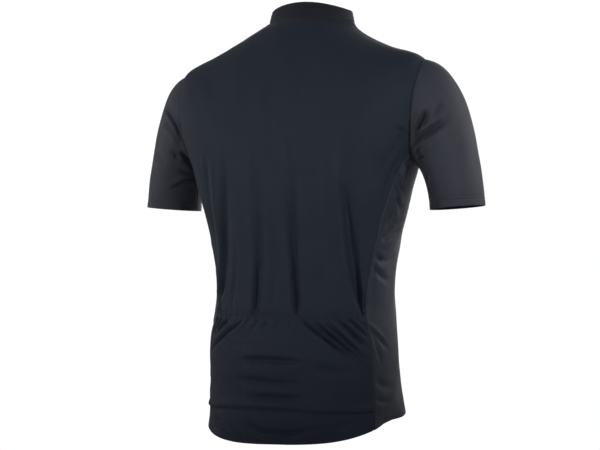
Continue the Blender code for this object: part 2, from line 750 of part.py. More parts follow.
def build_slider():
    """The slider's plate with its crown, an arch that traps the bar of the pull tab."""
    half_length = SLIDER_LENGTH / 2
    outline = (
        (-SLIDER_HALF_WIDTH, half_length),
        (-SLIDER_HALF_WIDTH, -half_length / 4),
        (-SLIDER_NOSE_HALF_WIDTH, -half_length),
        (SLIDER_NOSE_HALF_WIDTH, -half_length),
        (SLIDER_HALF_WIDTH, -half_length / 4),
        (SLIDER_HALF_WIDTH, half_length),
    )
    slider = plate("zip_slider", outline, SLIDER_PLATE, "zip_metal")
    slider.matrix_world = zip_frame() @ Matrix.Translation((0, 0, SEAM_GAP + SLIDER_PLATE / 2))
    foot = -PIN_HEIGHT - SLIDER_PLATE / 2
    shoulder = CROWN_OUTER * 0.55
    crown = plate(
        "crown",
        (
            (-CROWN_OUTER, foot),
            (-CROWN_INNER, foot),
            (-CROWN_INNER, CROWN_INNER),
            (CROWN_INNER, CROWN_INNER),
            (CROWN_INNER, foot),
            (CROWN_OUTER, foot),
            (CROWN_OUTER, shoulder),
            (CROWN_INNER, CROWN_OUTER),
            (-CROWN_INNER, CROWN_OUTER),
            (-CROWN_OUTER, shoulder),
        ),
        2 * CROWN_HALF_WIDTH,
        "zip_metal",
    )
    # the crown's outline stands in the plane along and out of the zip
    upright = Matrix(((0, 0, 1), (1, 0, 0), (0, 1, 0))).to_4x4()
    crown.matrix_world = pin_frame() @ upright
    combine(slider, crown, "UNION")


def pin_frame():
    """The frame at the pull tab's bar, on the axis that it swings about."""
    return zip_frame() @ Matrix.Translation((0, 0, SEAM_GAP + SLIDER_PLATE + PIN_HEIGHT))


def build_pull():
    """The pull tab, hanging from its bar, with a window round the slider's crown."""
    bar = PULL_THICKNESS / 2
    shoulder = PULL_WINDOW_LENGTH + bar
    outline = [
        (-PULL_HALF_WIDTH, bar),
        (-PULL_HALF_WIDTH, -shoulder),
        (-PULL_END_HALF_WIDTH, -shoulder - bar),
    ]
    for step in range(PULL_END_STEPS + 1):
        turn = math.pi * step / PULL_END_STEPS
        x = -PULL_END_HALF_WIDTH * math.cos(turn)
        y = PULL_END_HALF_WIDTH - PULL_LENGTH - PULL_END_HALF_WIDTH * math.sin(turn)
        outline.append((x, y))
    outline += [
        (PULL_END_HALF_WIDTH, -shoulder - bar),
        (PULL_HALF_WIDTH, -shoulder),
        (PULL_HALF_WIDTH, bar),
    ]
    pull = plate("zip_pull", outline, PULL_THICKNESS, "zip_metal")
    pull.matrix_world = pin_frame()
    window = plate(
        "pull_window",
        (
            (-PULL_WINDOW_HALF_WIDTH, -bar),
            (-PULL_WINDOW_HALF_WIDTH, -PULL_WINDOW_LENGTH),
            (PULL_WINDOW_HALF_WIDTH, -PULL_WINDOW_LENGTH),
            (PULL_WINDOW_HALF_WIDTH, -bar),
        ),
        3 * PULL_THICKNESS,
        "zip_metal",
    )
    window.matrix_world = pin_frame()
    combine(pull, window, "DIFFERENCE")


def main():
    for old in list(bpy.data.objects):
        bpy.data.objects.remove(old)
    left = Sleeve(1, LEFT_SLEEVE_FOLDS)
    right = Sleeve(-1, RIGHT_SLEEVE_FOLDS)
    build_back(left, right)
    for name, side, sleeve in (("left", 1, left), ("right", -1, right)):
        build_front(f"front_{name}", side, sleeve)
        build_side(f"side_panel_{name}", side, sleeve)
        build_sleeve(f"sleeve_{name}", sleeve)
    build_collar()
    build_zip()
    build_slider()
    build_pull()


main()
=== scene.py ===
"""The looks of a short-sleeved cycling jersey, laid over its solids.

Every cloth piece is a thin shell on its solid's form, with its folds, seams and hems pressed into it.
+X is the wearer's left, +Y the back and +Z up. Tables are in millimetres and degrees; meshes are in metres.
"""

import math
from functools import cache

import bmesh
import bpy
import numpy as np
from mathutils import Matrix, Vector


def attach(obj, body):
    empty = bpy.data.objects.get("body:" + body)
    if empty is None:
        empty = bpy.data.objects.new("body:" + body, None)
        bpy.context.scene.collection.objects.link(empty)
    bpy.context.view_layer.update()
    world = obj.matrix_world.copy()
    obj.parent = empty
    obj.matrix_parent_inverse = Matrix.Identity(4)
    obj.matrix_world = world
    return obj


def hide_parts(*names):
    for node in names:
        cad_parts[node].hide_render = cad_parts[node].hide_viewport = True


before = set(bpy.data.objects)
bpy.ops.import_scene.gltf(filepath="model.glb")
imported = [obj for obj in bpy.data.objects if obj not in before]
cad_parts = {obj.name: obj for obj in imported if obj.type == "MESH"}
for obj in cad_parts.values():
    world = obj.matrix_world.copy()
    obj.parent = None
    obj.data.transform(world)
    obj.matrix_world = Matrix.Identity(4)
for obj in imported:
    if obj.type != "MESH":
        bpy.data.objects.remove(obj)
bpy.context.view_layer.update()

MM = 0.001
BODY, PULL_BODY = "jersey", "pull"
BACKWARDS, FORWARDS, LEVEL = np.array([0, 1.0, 0]), np.array([0, -1.0, 0]), np.array([1.0, 1.0, 0])

# Cloth, the depth of its turned edges and the two rows of stitches that hold a hem
CLOTH, HEM_CLOTH, COLLAR_CLOTH = 0.8 * MM, 1.5 * MM, 1.5 * MM
POCKET_CLOTH, BAND_CLOTH, TAPE_CLOTH = 0.6 * MM, 0.6 * MM, 0.6 * MM
HEM_TURN, CUFF_TURN, ZIP_TURN, COLLAR_TURN = 17 * MM, 15 * MM, 7 * MM, 2.5 * MM
TWIN_ROWS, TURN_EDGE = 4.5 * MM, 1.2 * MM
STITCH_GROOVE, STITCH_GROOVE_WIDTH = 0.5 * MM, 1.1 * MM

# A seam is a groove with a low ridge beside it, puckered unevenly along its length
SEAM_DEPTH, SEAM_WIDTH = 0.6 * MM, 0.9 * MM
ARMHOLE_SHARE, SIDE_SHARE, UNDERARM_SHARE, COLLAR_SHARE = 0.6, 2.0, 0.6, 0.8
SIDE_SEAM_START = 0.1
SEAM_RIDGE, SEAM_RIDGE_AT, SEAM_RIDGE_WIDTH = 0.35 * MM, 4.5 * MM, 2.2 * MM
PUCKER, PUCKER_START, PUCKER_REACH = 0.32 * MM, 2 * MM, 7 * MM
PUCKER_LENGTH, PUCKER_DRIFT, PUCKER_PATCH = 9.3 * MM, 57 * MM, 83 * MM
PUCKER_WANDER, PUCKER_UNEVEN = 2.2, 0.45
SEAM_TUCK, SEAM_TUCK_DEPTH, SEAM_BLEND = 1.0 * MM, 0.75, 4 * MM
RIM_TUCK, RIM_DEPTH = 0.35, 0.5

# The torso is a stack of rings from the neck seam down to the hem. Each ring is a squared ellipse through its
# side, back and front points; "sweep" says how flat its back half hangs, "lean" how much lower its left is.
RING_COLUMNS = (
    "half_width", "side_y", "back_y", "front_y",
    "side_z", "back_z", "front_z",
    "square", "sweep", "lean",
)
RINGS = (
    (71.5, 2, 57, -70, 0, 1, -60, 2.0, 2.0, 0),  # neck seam
    (86, 6, 74, -84, -13, -14, -78, 2.0, 2.0, -3),  # foot of the neck
    (122, 20, 98, -100, -34, -50, -108, 2.1, 2.0, -2),  # slope of the shoulder
    (166, 32, 117, -108, -55, -92, -136, 2.25, 2.2, 1.5),  # shoulder
    (207, 40, 130, -112, -77, -132, -160, 2.3, 2.6, 4),  # shoulder point
    (214, 42, 136, -113, -128, -168, -186, 2.45, 2.4, 2),  # upper armhole
    (206, 42, 140, -113, -182, -200, -212, 2.55, 2.1, 1),  # shoulder blades
    (187, 42, 141, -112, -236, -238, -244, 2.5, 2.0, 0),  # underarm
    (173, 40, 138, -108, -290, -290, -290, 2.4, 2.0, 0),  # ribs
    (160, 38, 131, -103, -345, -345, -340, 2.3, 2.0, 0),  # small of the back
    (149, 37, 125, -98, -405, -405, -395, 2.3, 2.0, 0),  # waist
    (149, 38, 125, -94, -465, -468, -445, 2.3, 2.0, 0),  # pocket mouths
    (155, 43, 137, -92, -528, -530, -505, 2.3, 2.3, 3),  # pockets
    (158, 35, 136, -99, -596, -603, -560, 2.3, 2.8, 6),  # pocket foot
    (164, 30, 135, -107, -647, -676, -605, 2.3, 3.2, 10),  # hem
)
HEM_RING = len(RINGS) - 1
SHOULDER_RING = 4.0
POCKET_MOUTH_RING = 11.0
POCKET_TOP_RING = 11.19

# The armhole is a closed curve on the torso: turn 0 is the shoulder point, 90 the back and 180 the underarm.
ARMHOLE_COLUMNS = ("turn", "angle", "ring")
ARMHOLE = (
    (0, 90.0, SHOULDER_RING),
    (40, 79.0, 4.28),
    (70, 71.5, 4.75),
    (100, 69.5, 5.4),
    (130, 74.0, 6.1),
    (155, 82.0, 6.65),
    (180, 93.0, 6.9),
    (205, 104.0, 6.65),
    (230, 110.0, 6.1),
    (260, 112.0, 5.4),
    (290, 108.5, 4.75),
    (320, 101.0, 4.28),
)
BACK_CORNER_TURN = 155.0
FRONT_CORNER_TURN = 205.0

# Seams of the side panels, from the underarm to the hem
SIDE_SEAM_COLUMNS = ("ring", "back_angle", "front_angle")
SIDE_SEAMS = (
    (6.65, 82.0, 104.0),
    (7.05, 77.5, 106.5),
    (7.75, 71.0, 110.0),
    (8.5, 66.0, 113.0),
    (9.5, 63.0, 116.0),
    (10.5, 59.5, 118.0),
    (11.1, 57.5, 119.0),
    (11.8, 61.5, 119.0),
    (12.5, 62.5, 119.0),
    (14.0, 59.0, 120.0),
)

# Sleeves leave the armhole along these directions, and end in a flat oval cuff
SLEEVE_START_COLUMNS = ("turn", "outward", "backward", "upward", "reach")
SLEEVE_START = (
    (0, 0.98, -0.14, -0.04, 205),
    (35, 0.94, 0.04, -0.24, 150),
    (90, 0.68, 0.08, -0.72, 110),
    (180, 0.78, -0.10, -0.62, 75),
    (270, 0.75, -0.33, -0.58, 160),
    (325, 0.97, -0.24, 0.10, 200),
)
CUFF_CENTRE = (253.5 * MM, 9 * MM, -304 * MM)
CUFF_HALF_WIDTH = 42.5 * MM
CUFF_HALF_DEPTH = 56 * MM
CUFF_TILT = math.radians(5)
CUFF_REACH = 95 * MM

# Top edge of the stand-up collar, written like a ring
COLLAR_TOP = (69, 0, 48, -62, 18, 29.3, -34)

# Folds. A row runs through three places, which are angles and rings on the torso, or turns and shares of the
# length on a sleeve. "peak" is where along it the fold is deepest, from 0 to 1. Its half width goes from
# "start" to "end", more on the side of rising angles where "skew" is positive. A positive depth is a trough
# with soft shoulders, a negative one a ridge.
FOLD_COLUMNS = ("u1", "v1", "u2", "v2", "u3", "v3", "peak", "start", "end", "skew", "depth")
TORSO_FOLDS = (
    # long upright folds of the back, gathered by the pocket elastic
    (18, 5.4, 37, 8.8, 58, 10.8, 0.9, 17, 8.5, 0.5, 8.6),
    (24, 6.8, 33.5, 8.3, 44, 9.7, 0.5, 8, 7, 0.3, 2.0),
    (5, 5.6, 10.5, 8.4, 16, 11.15, 0.93, 15, 7.5, 0.5, 6.6),
    (1, 3.0, -4.4, 8.2, -7.5, 11.15, 0.9, 16, 8, 0.55, 7.8),
    (-21, 5.0, -38.5, 8.5, -56.5, 11.05, 0.9, 26, 12, 0.5, 11.6),
    (-28, 6.8, -37, 8.3, -46, 9.6, 0.5, 9, 8, 0.3, 1.8),
    # their sharp ends over the elastic
    (48, 9.7, 54.5, 10.45, 52, 11.12, 0.75, 4.2, 3.0, 0, 5.0),
    (13.5, 9.2, 15, 10.3, 16.4, 11.1, 0.93, 4.0, 2.6, 0, 2.8),
    (-5.6, 9.2, -6.8, 10.2, -7.8, 11.1, 0.9, 3.6, 2.6, 0, 2.6),
    (-47, 9.4, -52.5, 10.4, -55, 11.12, 0.9, 4.6, 2.8, 0, 3.8),
    # fainter upright folds between them
    (39, 6.3, 50, 7.7, 58.5, 9.4, 0.5, 5, 4, 0, -1.8),
    (31, 6.4, 40.5, 8.0, 49, 9.8, 0.5, 5, 4, 0, -1.8),
    (24.5, 6.4, 32.5, 8.0, 44, 10.2, 0.6, 5, 4, 0, -1.6),
    (35, 6.2, 45, 7.8, 55, 9.8, 0.5, 6, 4, 0, 1.8),
    (44, 6.6, 54, 8.0, 61, 9.6, 0.5, 6, 4, 0, 1.8),
    (-7.8, 7.2, -9.5, 9.2, -10.6, 11.0, 0.6, 3.0, 2.6, 0, -2.2),
    (26, 8.0, 38, 9.6, 47.5, 11.0, 0.6, 4.5, 3.5, 0, -1.4),
    (9.5, 8.6, 11.5, 9.8, 13, 11.0, 0.6, 3.5, 3.0, 0, -1.2),
    (-47, 8.6, -54, 9.8, -58, 10.9, 0.6, 4.5, 3.5, 0, -1.4),
    (1, 7.2, 2, 9.0, 3, 11.0, 0.8, 9, 5, 0, 0.8),
    (-16, 5.6, -24, 8.2, -31, 11.0, 0.7, 16, 9, 0.4, 1.6),
    (25, 8.6, 30, 9.8, 37, 11.0, 0.85, 8, 4, 0.3, 1.4),
    (58, 9.4, 58, 10.3, 57, 11.1, 0.8, 6, 3.5, 0, 1.2),
    (4, 2.4, 2, 4.6, -1, 7.4, 0.5, 22, 18, 0.2, 2.2),
    # drags across the pockets, left then right
    (50, 11.18, 58, 11.48, 66, 11.95, 0.35, 2.8, 4.2, 0, 3.8),
    (43, 11.18, 52, 11.48, 64, 11.85, 0.35, 2.6, 4.2, 0, 3.6),
    (34.5, 11.22, 47, 11.52, 62, 11.8, 0.35, 3.2, 4.6, 0, 4.8),
    (20.5, 11.22, 36.5, 11.6, 61, 12.2, 0.4, 3.4, 4.8, 0, 5.8),
    (56, 11.2, 61, 11.36, 66, 11.6, 0.4, 2.4, 3.5, 0, 1.4),
    (-9, 11.12, -28, 11.7, -57, 12.5, 0.35, 2.5, 3.5, 0, 4.8),
    (-13, 11.15, -31, 11.72, -56, 12.42, 0.4, 2.4, 3.4, 0, -1.8),
    (-17, 11.12, -36.5, 11.77, -63, 12.52, 0.35, 2.5, 3.5, 0, 4.7),
    (-21, 11.15, -38.5, 11.76, -61, 12.4, 0.4, 2.3, 3.3, 0, -1.7),
    (-25, 11.12, -42.5, 11.77, -64, 12.38, 0.35, 2.5, 3.5, 0, 4.2),
    (-33, 11.12, -47.5, 11.6, -64, 12.06, 0.35, 2.6, 3.6, 0, 4.8),
    (-38, 11.15, -48.5, 11.49, -61, 11.82, 0.4, 2.3, 3.3, 0, -1.5),
    (-41.5, 11.12, -51, 11.42, -61.5, 11.74, 0.35, 2.5, 3.4, 0, 4.0),
    (-49, 11.2, -55, 11.33, -61, 11.5, 0.4, 2.4, 3.2, 0, 1.6),
    # puckers under the middle of the elastic
    (26, 11.22, 28.5, 11.3, 32, 11.42, 0.4, 2.6, 3, 0, 1.4),
    (18, 11.2, 20.5, 11.34, 24, 11.55, 0.4, 2.8, 3.4, 0, 2.4),
    (12, 11.2, 14, 11.37, 17, 11.6, 0.4, 2.8, 3.4, 0, 2.4),
    (6, 11.2, 7.5, 11.36, 10, 11.55, 0.4, 2.6, 3.4, 0, 2.4),
    (0, 11.2, 1, 11.32, 3, 11.5, 0.4, 2.6, 3, 0, 2.0),
    (-5, 11.2, -5, 11.3, -5, 11.42, 0.4, 2.6, 3, 0, 1.2),
    (30, 11.55, 17, 11.62, 5, 11.7, 0.5, 5, 4, 0, 0.9),
    (38, 11.75, 26, 11.86, 8, 11.8, 0.5, 5, 4, 0, 1.0),
    # level folds of the middle pocket
    (25, 12.22, 4, 12.19, -17, 12.25, 0.45, 6.8, 5.6, 0, 5.6),
    (27, 12.58, 5, 12.66, -16, 12.68, 0.45, 7.2, 5.8, 0, 4.2),
    (18, 12.97, 2, 12.99, -15, 12.99, 0.55, 6.2, 5.2, 0, 3.6),
    (22, 12.43, 3, 12.42, -14, 12.48, 0.5, 9, 8, 0, -1.0),
    (20, 12.82, 2, 12.84, -14, 12.88, 0.5, 7, 6, 0, -0.7),
    (-16, 12.42, -32, 12.42, -48, 12.5, 0.5, 8, 7, 0, 1.6),
    (50, 12.5, 42, 12.75, 30, 12.85, 0.5, 11, 9, 0, 0.9),
    (-16, 12.05, -26, 12.2, -38, 12.3, 0.5, 8, 8, 0, -1.6),
    # tail, which curls in towards its hem
    (56, 14.0, 0, 14.0, -54, 14.0, 0.5, 30, 30, 0, 11.0),
    (18, 13.42, 2, 13.72, -28, 13.6, 0.5, 5.6, 5, 0, 7.0),
    (30, 13.46, 14, 13.8, -4, 13.9, 0.5, 5, 4, 0, -2.0),
    (10, 13.3, 0, 13.46, -14, 13.42, 0.5, 7, 6, 0, -2.0),
    (-10, 13.4, -22, 13.44, -36, 13.42, 0.4, 5, 5, 0, 1.4),
    (50, 13.5, 38, 13.68, 24, 13.66, 0.5, 7, 7, 0, 1.2),
    (-26, 13.72, -38, 13.66, -52, 13.6, 0.5, 6, 5, 0, 1.6),
    # right side panel and round its seam
    (-72, 7.4, -82, 8.0, -92, 8.3, 0.5, 7, 7, 0, 2.4),
    (-69, 9.2, -83, 9.05, -98, 8.85, 0.35, 5.5, 7, 0, 6.0),
    (-66, 9.45, -78, 9.74, -100, 9.5, 0.4, 5, 7, 0, 5.4),
    (-85, 6.8, -82, 7.12, -79, 7.6, 0.4, 3.0, 3.6, 0, 2.8),
    (-89, 6.95, -86.5, 7.3, -84, 7.8, 0.4, 3.0, 3.6, 0, 2.8),
    (-76, 8.3, -72, 8.8, -70, 9.3, 0.4, 3.5, 4, 0, 2.0),
    (-64, 9.8, -78, 10.15, -96, 10.2, 0.4, 5, 7, 0, 2.8),
    (-64, 9.3, -67, 10.0, -67, 10.9, 0.5, 2.8, 2.8, 0, 2.0),
    (-57.5, 11.2, -71, 11.6, -89, 12.0, 0.35, 3.6, 5, 0, -2.0),
    (-60, 11.35, -73, 11.75, -90, 12.15, 0.35, 5, 7, 0, 2.4),
    (-62, 11.45, -69, 11.95, -74, 12.5, 0.4, 4, 5, 0, 2.0),
    (-64, 12.6, -76, 12.9, -92, 12.8, 0.4, 8, 9, 0, 2.6),
    (-62, 13.1, -72, 13.3, -86, 13.3, 0.4, 6, 7, 0, 2.2),
    (-66, 13.5, -78, 13.55, -92, 13.4, 0.5, 5, 6, 0, 1.4),
    (-60, 14.0, -78, 14.0, -96, 14.0, 0.5, 22, 22, 0, 7.0),
    (-75, 6.8, -81, 6.98, -91, 7.15, 0.4, 3.5, 4.5, 0, 3.0),
    (-79, 7.5, -83, 7.66, -90, 7.8, 0.4, 3.5, 4.5, 0, 4.0),
    (-80, 7.95, -86, 8.13, -94, 8.3, 0.4, 3.5, 4.5, 0, 3.8),
    (-73, 8.5, -80, 8.62, -90, 8.6, 0.4, 4, 5, 0, 3.4),
    (-76, 7.25, -80, 7.34, -88, 7.5, 0.4, 3, 4, 0, -1.6),
    (-77, 8.2, -83, 8.4, -92, 8.5, 0.4, 3, 4, 0, -1.6),
    (-70, 8.85, -80, 8.86, -92, 8.75, 0.4, 3, 4, 0, -1.6),
    (-72, 7.1, -74.5, 7.3, -79, 7.42, 0.5, 3.5, 4, 0, 1.8),
    (-74, 6.6, -68, 7.3, -63, 8.4, 0.3, 6, 8, 0, 1.6),
    (-70, 6.3, -60, 6.9, -53, 7.9, 0.3, 8, 10, 0, 1.2),
    (-72, 6.2, -64, 6.03, -55, 5.8, 0.3, 3.2, 4.5, 0, 4.2),
    (-72, 6.38, -66, 6.28, -60, 6.2, 0.35, 2.8, 3.6, 0, 2.4),
    # left side panel
    (74, 7.5, 84, 8.0, 94, 8.4, 0.5, 8, 9, 0, 2.6),
    (68, 9.0, 82, 9.3, 96, 9.6, 0.4, 6, 8, 0, 3.0),
    (66, 11.3, 80, 11.7, 94, 12.0, 0.3, 6, 8, 0, 2.6),
    (66, 9.8, 78, 10.0, 92, 10.0, 0.4, 5, 7, 0, 2.0),
    (78, 7.0, 84, 7.1, 92, 7.3, 0.4, 4, 5, 0, 1.8),
    (66, 12.6, 78, 12.9, 92, 12.9, 0.4, 8, 9, 0, 1.6),
    # fronts: drags from the underarms and soft folds over the waist
    (112, 6.9, 126, 7.3, 142, 7.9, 0.25, 9, 15, 0, 3.8),
    (-112, 6.9, -128, 7.4, -146, 7.8, 0.25, 9, 15, 0, 3.8),
    (114, 7.5, 128, 8.0, 146, 8.7, 0.25, 7, 12, 0, 2.0),
    (-113, 7.6, -126, 8.1, -142, 8.9, 0.25, 7, 12, 0, 2.2),
    (126, 8.6, 130, 9.8, 128, 11.2, 0.6, 13, 11, 0.3, 6.0),
    (-124, 8.4, -130, 9.6, -128, 11.0, 0.6, 13, 11, -0.3, 6.0),
    (150, 9.2, 148, 10.4, 152, 11.8, 0.6, 12, 10, 0.3, 4.6),
    (-152, 9.6, -149, 10.8, -153, 12.2, 0.5, 12, 10, -0.3, 4.6),
    (140, 8.9, 139, 10.2, 137, 11.6, 0.6, 7, 6, 0, 2.6),
    (-139, 8.8, -140, 10.0, -138, 11.6, 0.6, 7, 6, 0, 2.8),
    (163, 7.4, 161, 9.4, 164, 11.8, 0.6, 7, 6, 0, 2.0),
    (-164, 7.8, -162, 9.6, -165, 12.2, 0.6, 7, 6, 0, 2.2),
    (121, 12.0, 136, 12.5, 156, 12.6, 0.4, 7, 9, 0, 3.4),
    (-121, 12.2, -138, 12.6, -158, 12.7, 0.4, 7, 9, 0, 3.2),
    (116, 5.6, 130, 5.9, 146, 6.0, 0.3, 6, 9, 0, 2.8),
    (-116, 5.5, -131, 5.8, -148, 5.9, 0.3, 6, 9, 0, 2.8),
)
LEFT_SLEEVE_FOLDS = (
    (22, 0.31, 78, 0.195, 136, 0.0, 0.6, 2.8, 2.6, 0, 5.6),
    (36, 0.42, 92, 0.26, 128, 0.14, 0.6, 9, 7, 0, -3.0),
    (104, 0.34, 120, 0.34, 134, 0.28, 0.5, 5, 5, 0, 2.6),
    (112, 0.74, 146, 0.585, 178, 0.35, 0.65, 3.6, 3.2, 0, 5.2),
    (112, 0.69, 142, 0.53, 172, 0.32, 0.6, 4, 3.5, 0, -1.2),
    (114, 0.33, 140, 0.29, 166, 0.18, 0.5, 6, 5, 0, 3.6),
    (130, 0.24, 149, 0.13, 168, 0.05, 0.6, 7, 6, 0, 9.5),
    (138, 0.22, 156, 0.15, 176, 0.07, 0.6, 6, 5, 0, 5.0),
    (134, 0.44, 148, 0.40, 168, 0.30, 0.5, 4, 4, 0, 2.2),
    (56, 0.50, 80, 0.52, 104, 0.50, 0.5, 12, 10, 0, 1.4),
    (250, 0.12, 285, 0.26, 320, 0.40, 0.3, 9, 12, 0, 4.2),
    (236, 0.22, 262, 0.34, 290, 0.46, 0.3, 7, 10, 0, 2.2),
    (214, 0.10, 228, 0.2, 246, 0.32, 0.4, 5, 7, 0, 2.2),
)
RIGHT_SLEEVE_FOLDS = (
    (72, 0.235, 97, 0.22, 136, 0.08, 0.45, 5.6, 4.4, 0, 11.6),
    (62, 0.325, 92, 0.30, 134, 0.13, 0.55, 4.5, 3.5, 0, -2.4),
    (34, 0.385, 88, 0.355, 157, 0.05, 0.72, 7.0, 5.0, 0, 11.0),
    (40, 0.31, 56, 0.325, 76, 0.31, 0.5, 5, 4.5, 0, 2.6),
    (48, 0.46, 84, 0.46, 118, 0.37, 0.6, 6, 6, 0, -1.6),
    (128, 0.27, 140, 0.24, 156, 0.16, 0.5, 4.0, 3.6, 0, 5.5),
    (126, 0.37, 140, 0.34, 160, 0.25, 0.5, 4.0, 3.6, 0, 5.5),
    (124, 0.56, 134, 0.62, 146, 0.64, 0.5, 6, 6, 0, 1.8),
    (20, 0.55, 60, 0.60, 96, 0.56, 0.5, 14, 12, 0, 1.2),
    (246, 0.14, 284, 0.28, 318, 0.38, 0.3, 9, 12, 0, 4.2),
    (234, 0.24, 262, 0.36, 292, 0.48, 0.3, 7, 10, 0, 2.2),
    (212, 0.12, 228, 0.22, 246, 0.34, 0.4, 5, 7, 0, 2.2),
)
FOLD_STEPS = 13
FOLD_SHOULDER, FOLD_POINT, FOLD_ROUND = 1.2, 1.5, 1.1
FOLD_HOLD, FOLD_REACH, FOLD_TURN = 1.35, 3.0, 0.05

# Slow swells of the cloth: direction, length of one swell, start and height
SWELL_COLUMNS = ("x", "y", "z", "length", "start", "height")
SWELLS = (
    (1.0, 0.2, 0.15, 74, 0.3, 0.30),
    (0.7, -0.5, -0.5, 53, 1.9, 0.22),
    (-0.6, 0.3, 0.75, 61, 4.2, 0.22),
    (0.2, 0.9, 0.4, 47, 2.7, 0.18),
    (0.9, 0.1, -0.4, 29, 5.1, 0.10),
    (-0.5, 0.5, 0.7, 34, 0.9, 0.10),
)
SLEEVE_SWELL_START = 0.035

# Pockets, sewn to the back along their foot, their sides and two dividing lines. The foot drops to the right.
POCKET_FOOT_COLUMNS = ("across", "ring")
POCKET_FOOT = ((-1.0, 13.48), (-0.62, 13.36), (-0.2, 13.24), (0.2, 13.2), (0.6, 13.24), (1.0, 13.36))
POCKET_DIVIDERS = (-0.226, 0.323)
POCKET_GAP, POCKET_LIFT = 0.35 * MM, 1.4 * MM
POUCH, POUCH_AT, POUCH_LENGTH = 4.2 * MM, 5 * MM, 8 * MM
POUCH_START, POUCH_AT_SEAMS = 2 * MM, 0.75
DIVIDER_GROOVE, DIVIDER_WIDTH = 0.25 * MM, 1.6 * MM
POCKET_SIDE_GROOVE, POCKET_SIDE_WIDTH = 0.8 * MM, 1.5 * MM
POCKET_HEM_GROOVE, POCKET_HEM_WIDTH = 0.5 * MM, 1.2 * MM

# The back under the pockets, and under their foot
UNDER_POCKET, UNDER_TOP_FADE, UNDER_FOOT_FADE = 0.6 * MM, 0.1, 0.06
FOOT_GROOVE, FOOT_GROOVE_WIDTH, FOOT_GROOVE_FADE = 3.6 * MM, 2.9 * MM, 0.06
TAIL_RING_HEIGHT = (RINGS[-2][RING_COLUMNS.index("back_z")] - RINGS[-1][RING_COLUMNS.index("back_z")]) * MM

# Pocket elastic, and the cloth that it gathers
BAND_BELLY, RIB, RIB_PITCH = 0.35 * MM, 0.10 * MM, 3.1 * MM
GATHER, GATHER_REACH, GATHER_END, GATHER_FADE = 0.55 * MM, 9 * MM, 64, 6
GATHER_RING = POCKET_MOUTH_RING + 0.1
GATHER_COLUMNS = ("each", "start", "share")
GATHERS = ((7.3, 0.4, 0.5), (11.9, 2.1, 0.7), (4.9, 1.0, 0.3))

# Front zip: its edge, tapes and coil
ZIP_EDGE = 3.2 * MM
TAPE_HALF_WIDTH, TAPE_GAP, TAPE_BEHIND = 7 * MM, 0.16 * MM, 2.0 * MM
COIL_AT, COIL_BEHIND, COIL_STEP = 1.25 * MM, 0.7 * MM, 2 * MM

# Beads of the thread and the coil, and the rows of stitches that hold no turned edge
THREAD = {"Pitch": 2.7 * MM, "Length": 2.1 * MM, "Thickness": 0.38 * MM, "Across": False}
TEETH = {"Pitch": 1.3 * MM, "Length": 3.0 * MM, "Thickness": 1.1 * MM, "Across": True}
BEAD_INPUTS = {
    "Geometry": "Geometry",
    "Pitch": "Float",
    "Length": "Float",
    "Thickness": "Float",
    "Across": "Bool",
    "Material": "Material",
}
BEAD_SEGMENTS, BEAD_RINGS = 6, 4
THREAD_LIFT, NECK_ROW, POCKET_ROW = 0.15 * MM, 2.6 * MM, 1.6 * MM
HEM_MIDDLE = np.array([0, 30 * MM, 0])
ZIP_OUTWARDS = (0.1, -1.0, 0.15)

# Widths and lengths that the grids are spaced over
BACK_HALF_WIDTH, FRONT_WIDTH, SIDE_WIDTH = 180 * MM, 185 * MM, 105 * MM
SLEEVE_LENGTH, SLEEVE_GIRTH = 195 * MM, 380 * MM
COLLAR_HALF_LENGTH, COLLAR_HEIGHT, COLLAR_PADDING = 205 * MM, 31 * MM, 0.5 * MM
POCKET_HALF_WIDTH, POCKET_HEIGHT, BAND_HEIGHT = 165 * MM, 150 * MM, 12.5 * MM

# Spacing of the grids
GRADE = 0.22
BACK_STEP, BACK_ROW_STEP = 1.8 * MM, 4.4 * MM
FRONT_STEP, FRONT_ROW_STEP = 3.0 * MM, 3.3 * MM
SIDE_STEP, SIDE_ROW_STEP, SIDE_TOP_FADE = 1.8 * MM, 2.0 * MM, 6
SLEEVE_STEP, SLEEVE_ROW_STEP = 1.7 * MM, 1.8 * MM
COLLAR_STEP, COLLAR_ROW_STEP, COLLAR_RIM_STEP = 2.2 * MM, 1.6 * MM, 0.4 * MM
POCKET_STEP, BAND_STEP, BAND_ROW_STEP = 1.5 * MM, 1.3 * MM, 0.9 * MM
TAPE_LINES, TAPE_ROW_STEP = 6, 4 * MM
SEAM_STEP = 0.5 * MM
EDGE_SAMPLES, LENGTH_SAMPLES = 160, 3000
ARMHOLE_STEP = 2.0
TORSO_PROBE, SLEEVE_PROBE = (0.5, 0.02), (1.0, 0.01)

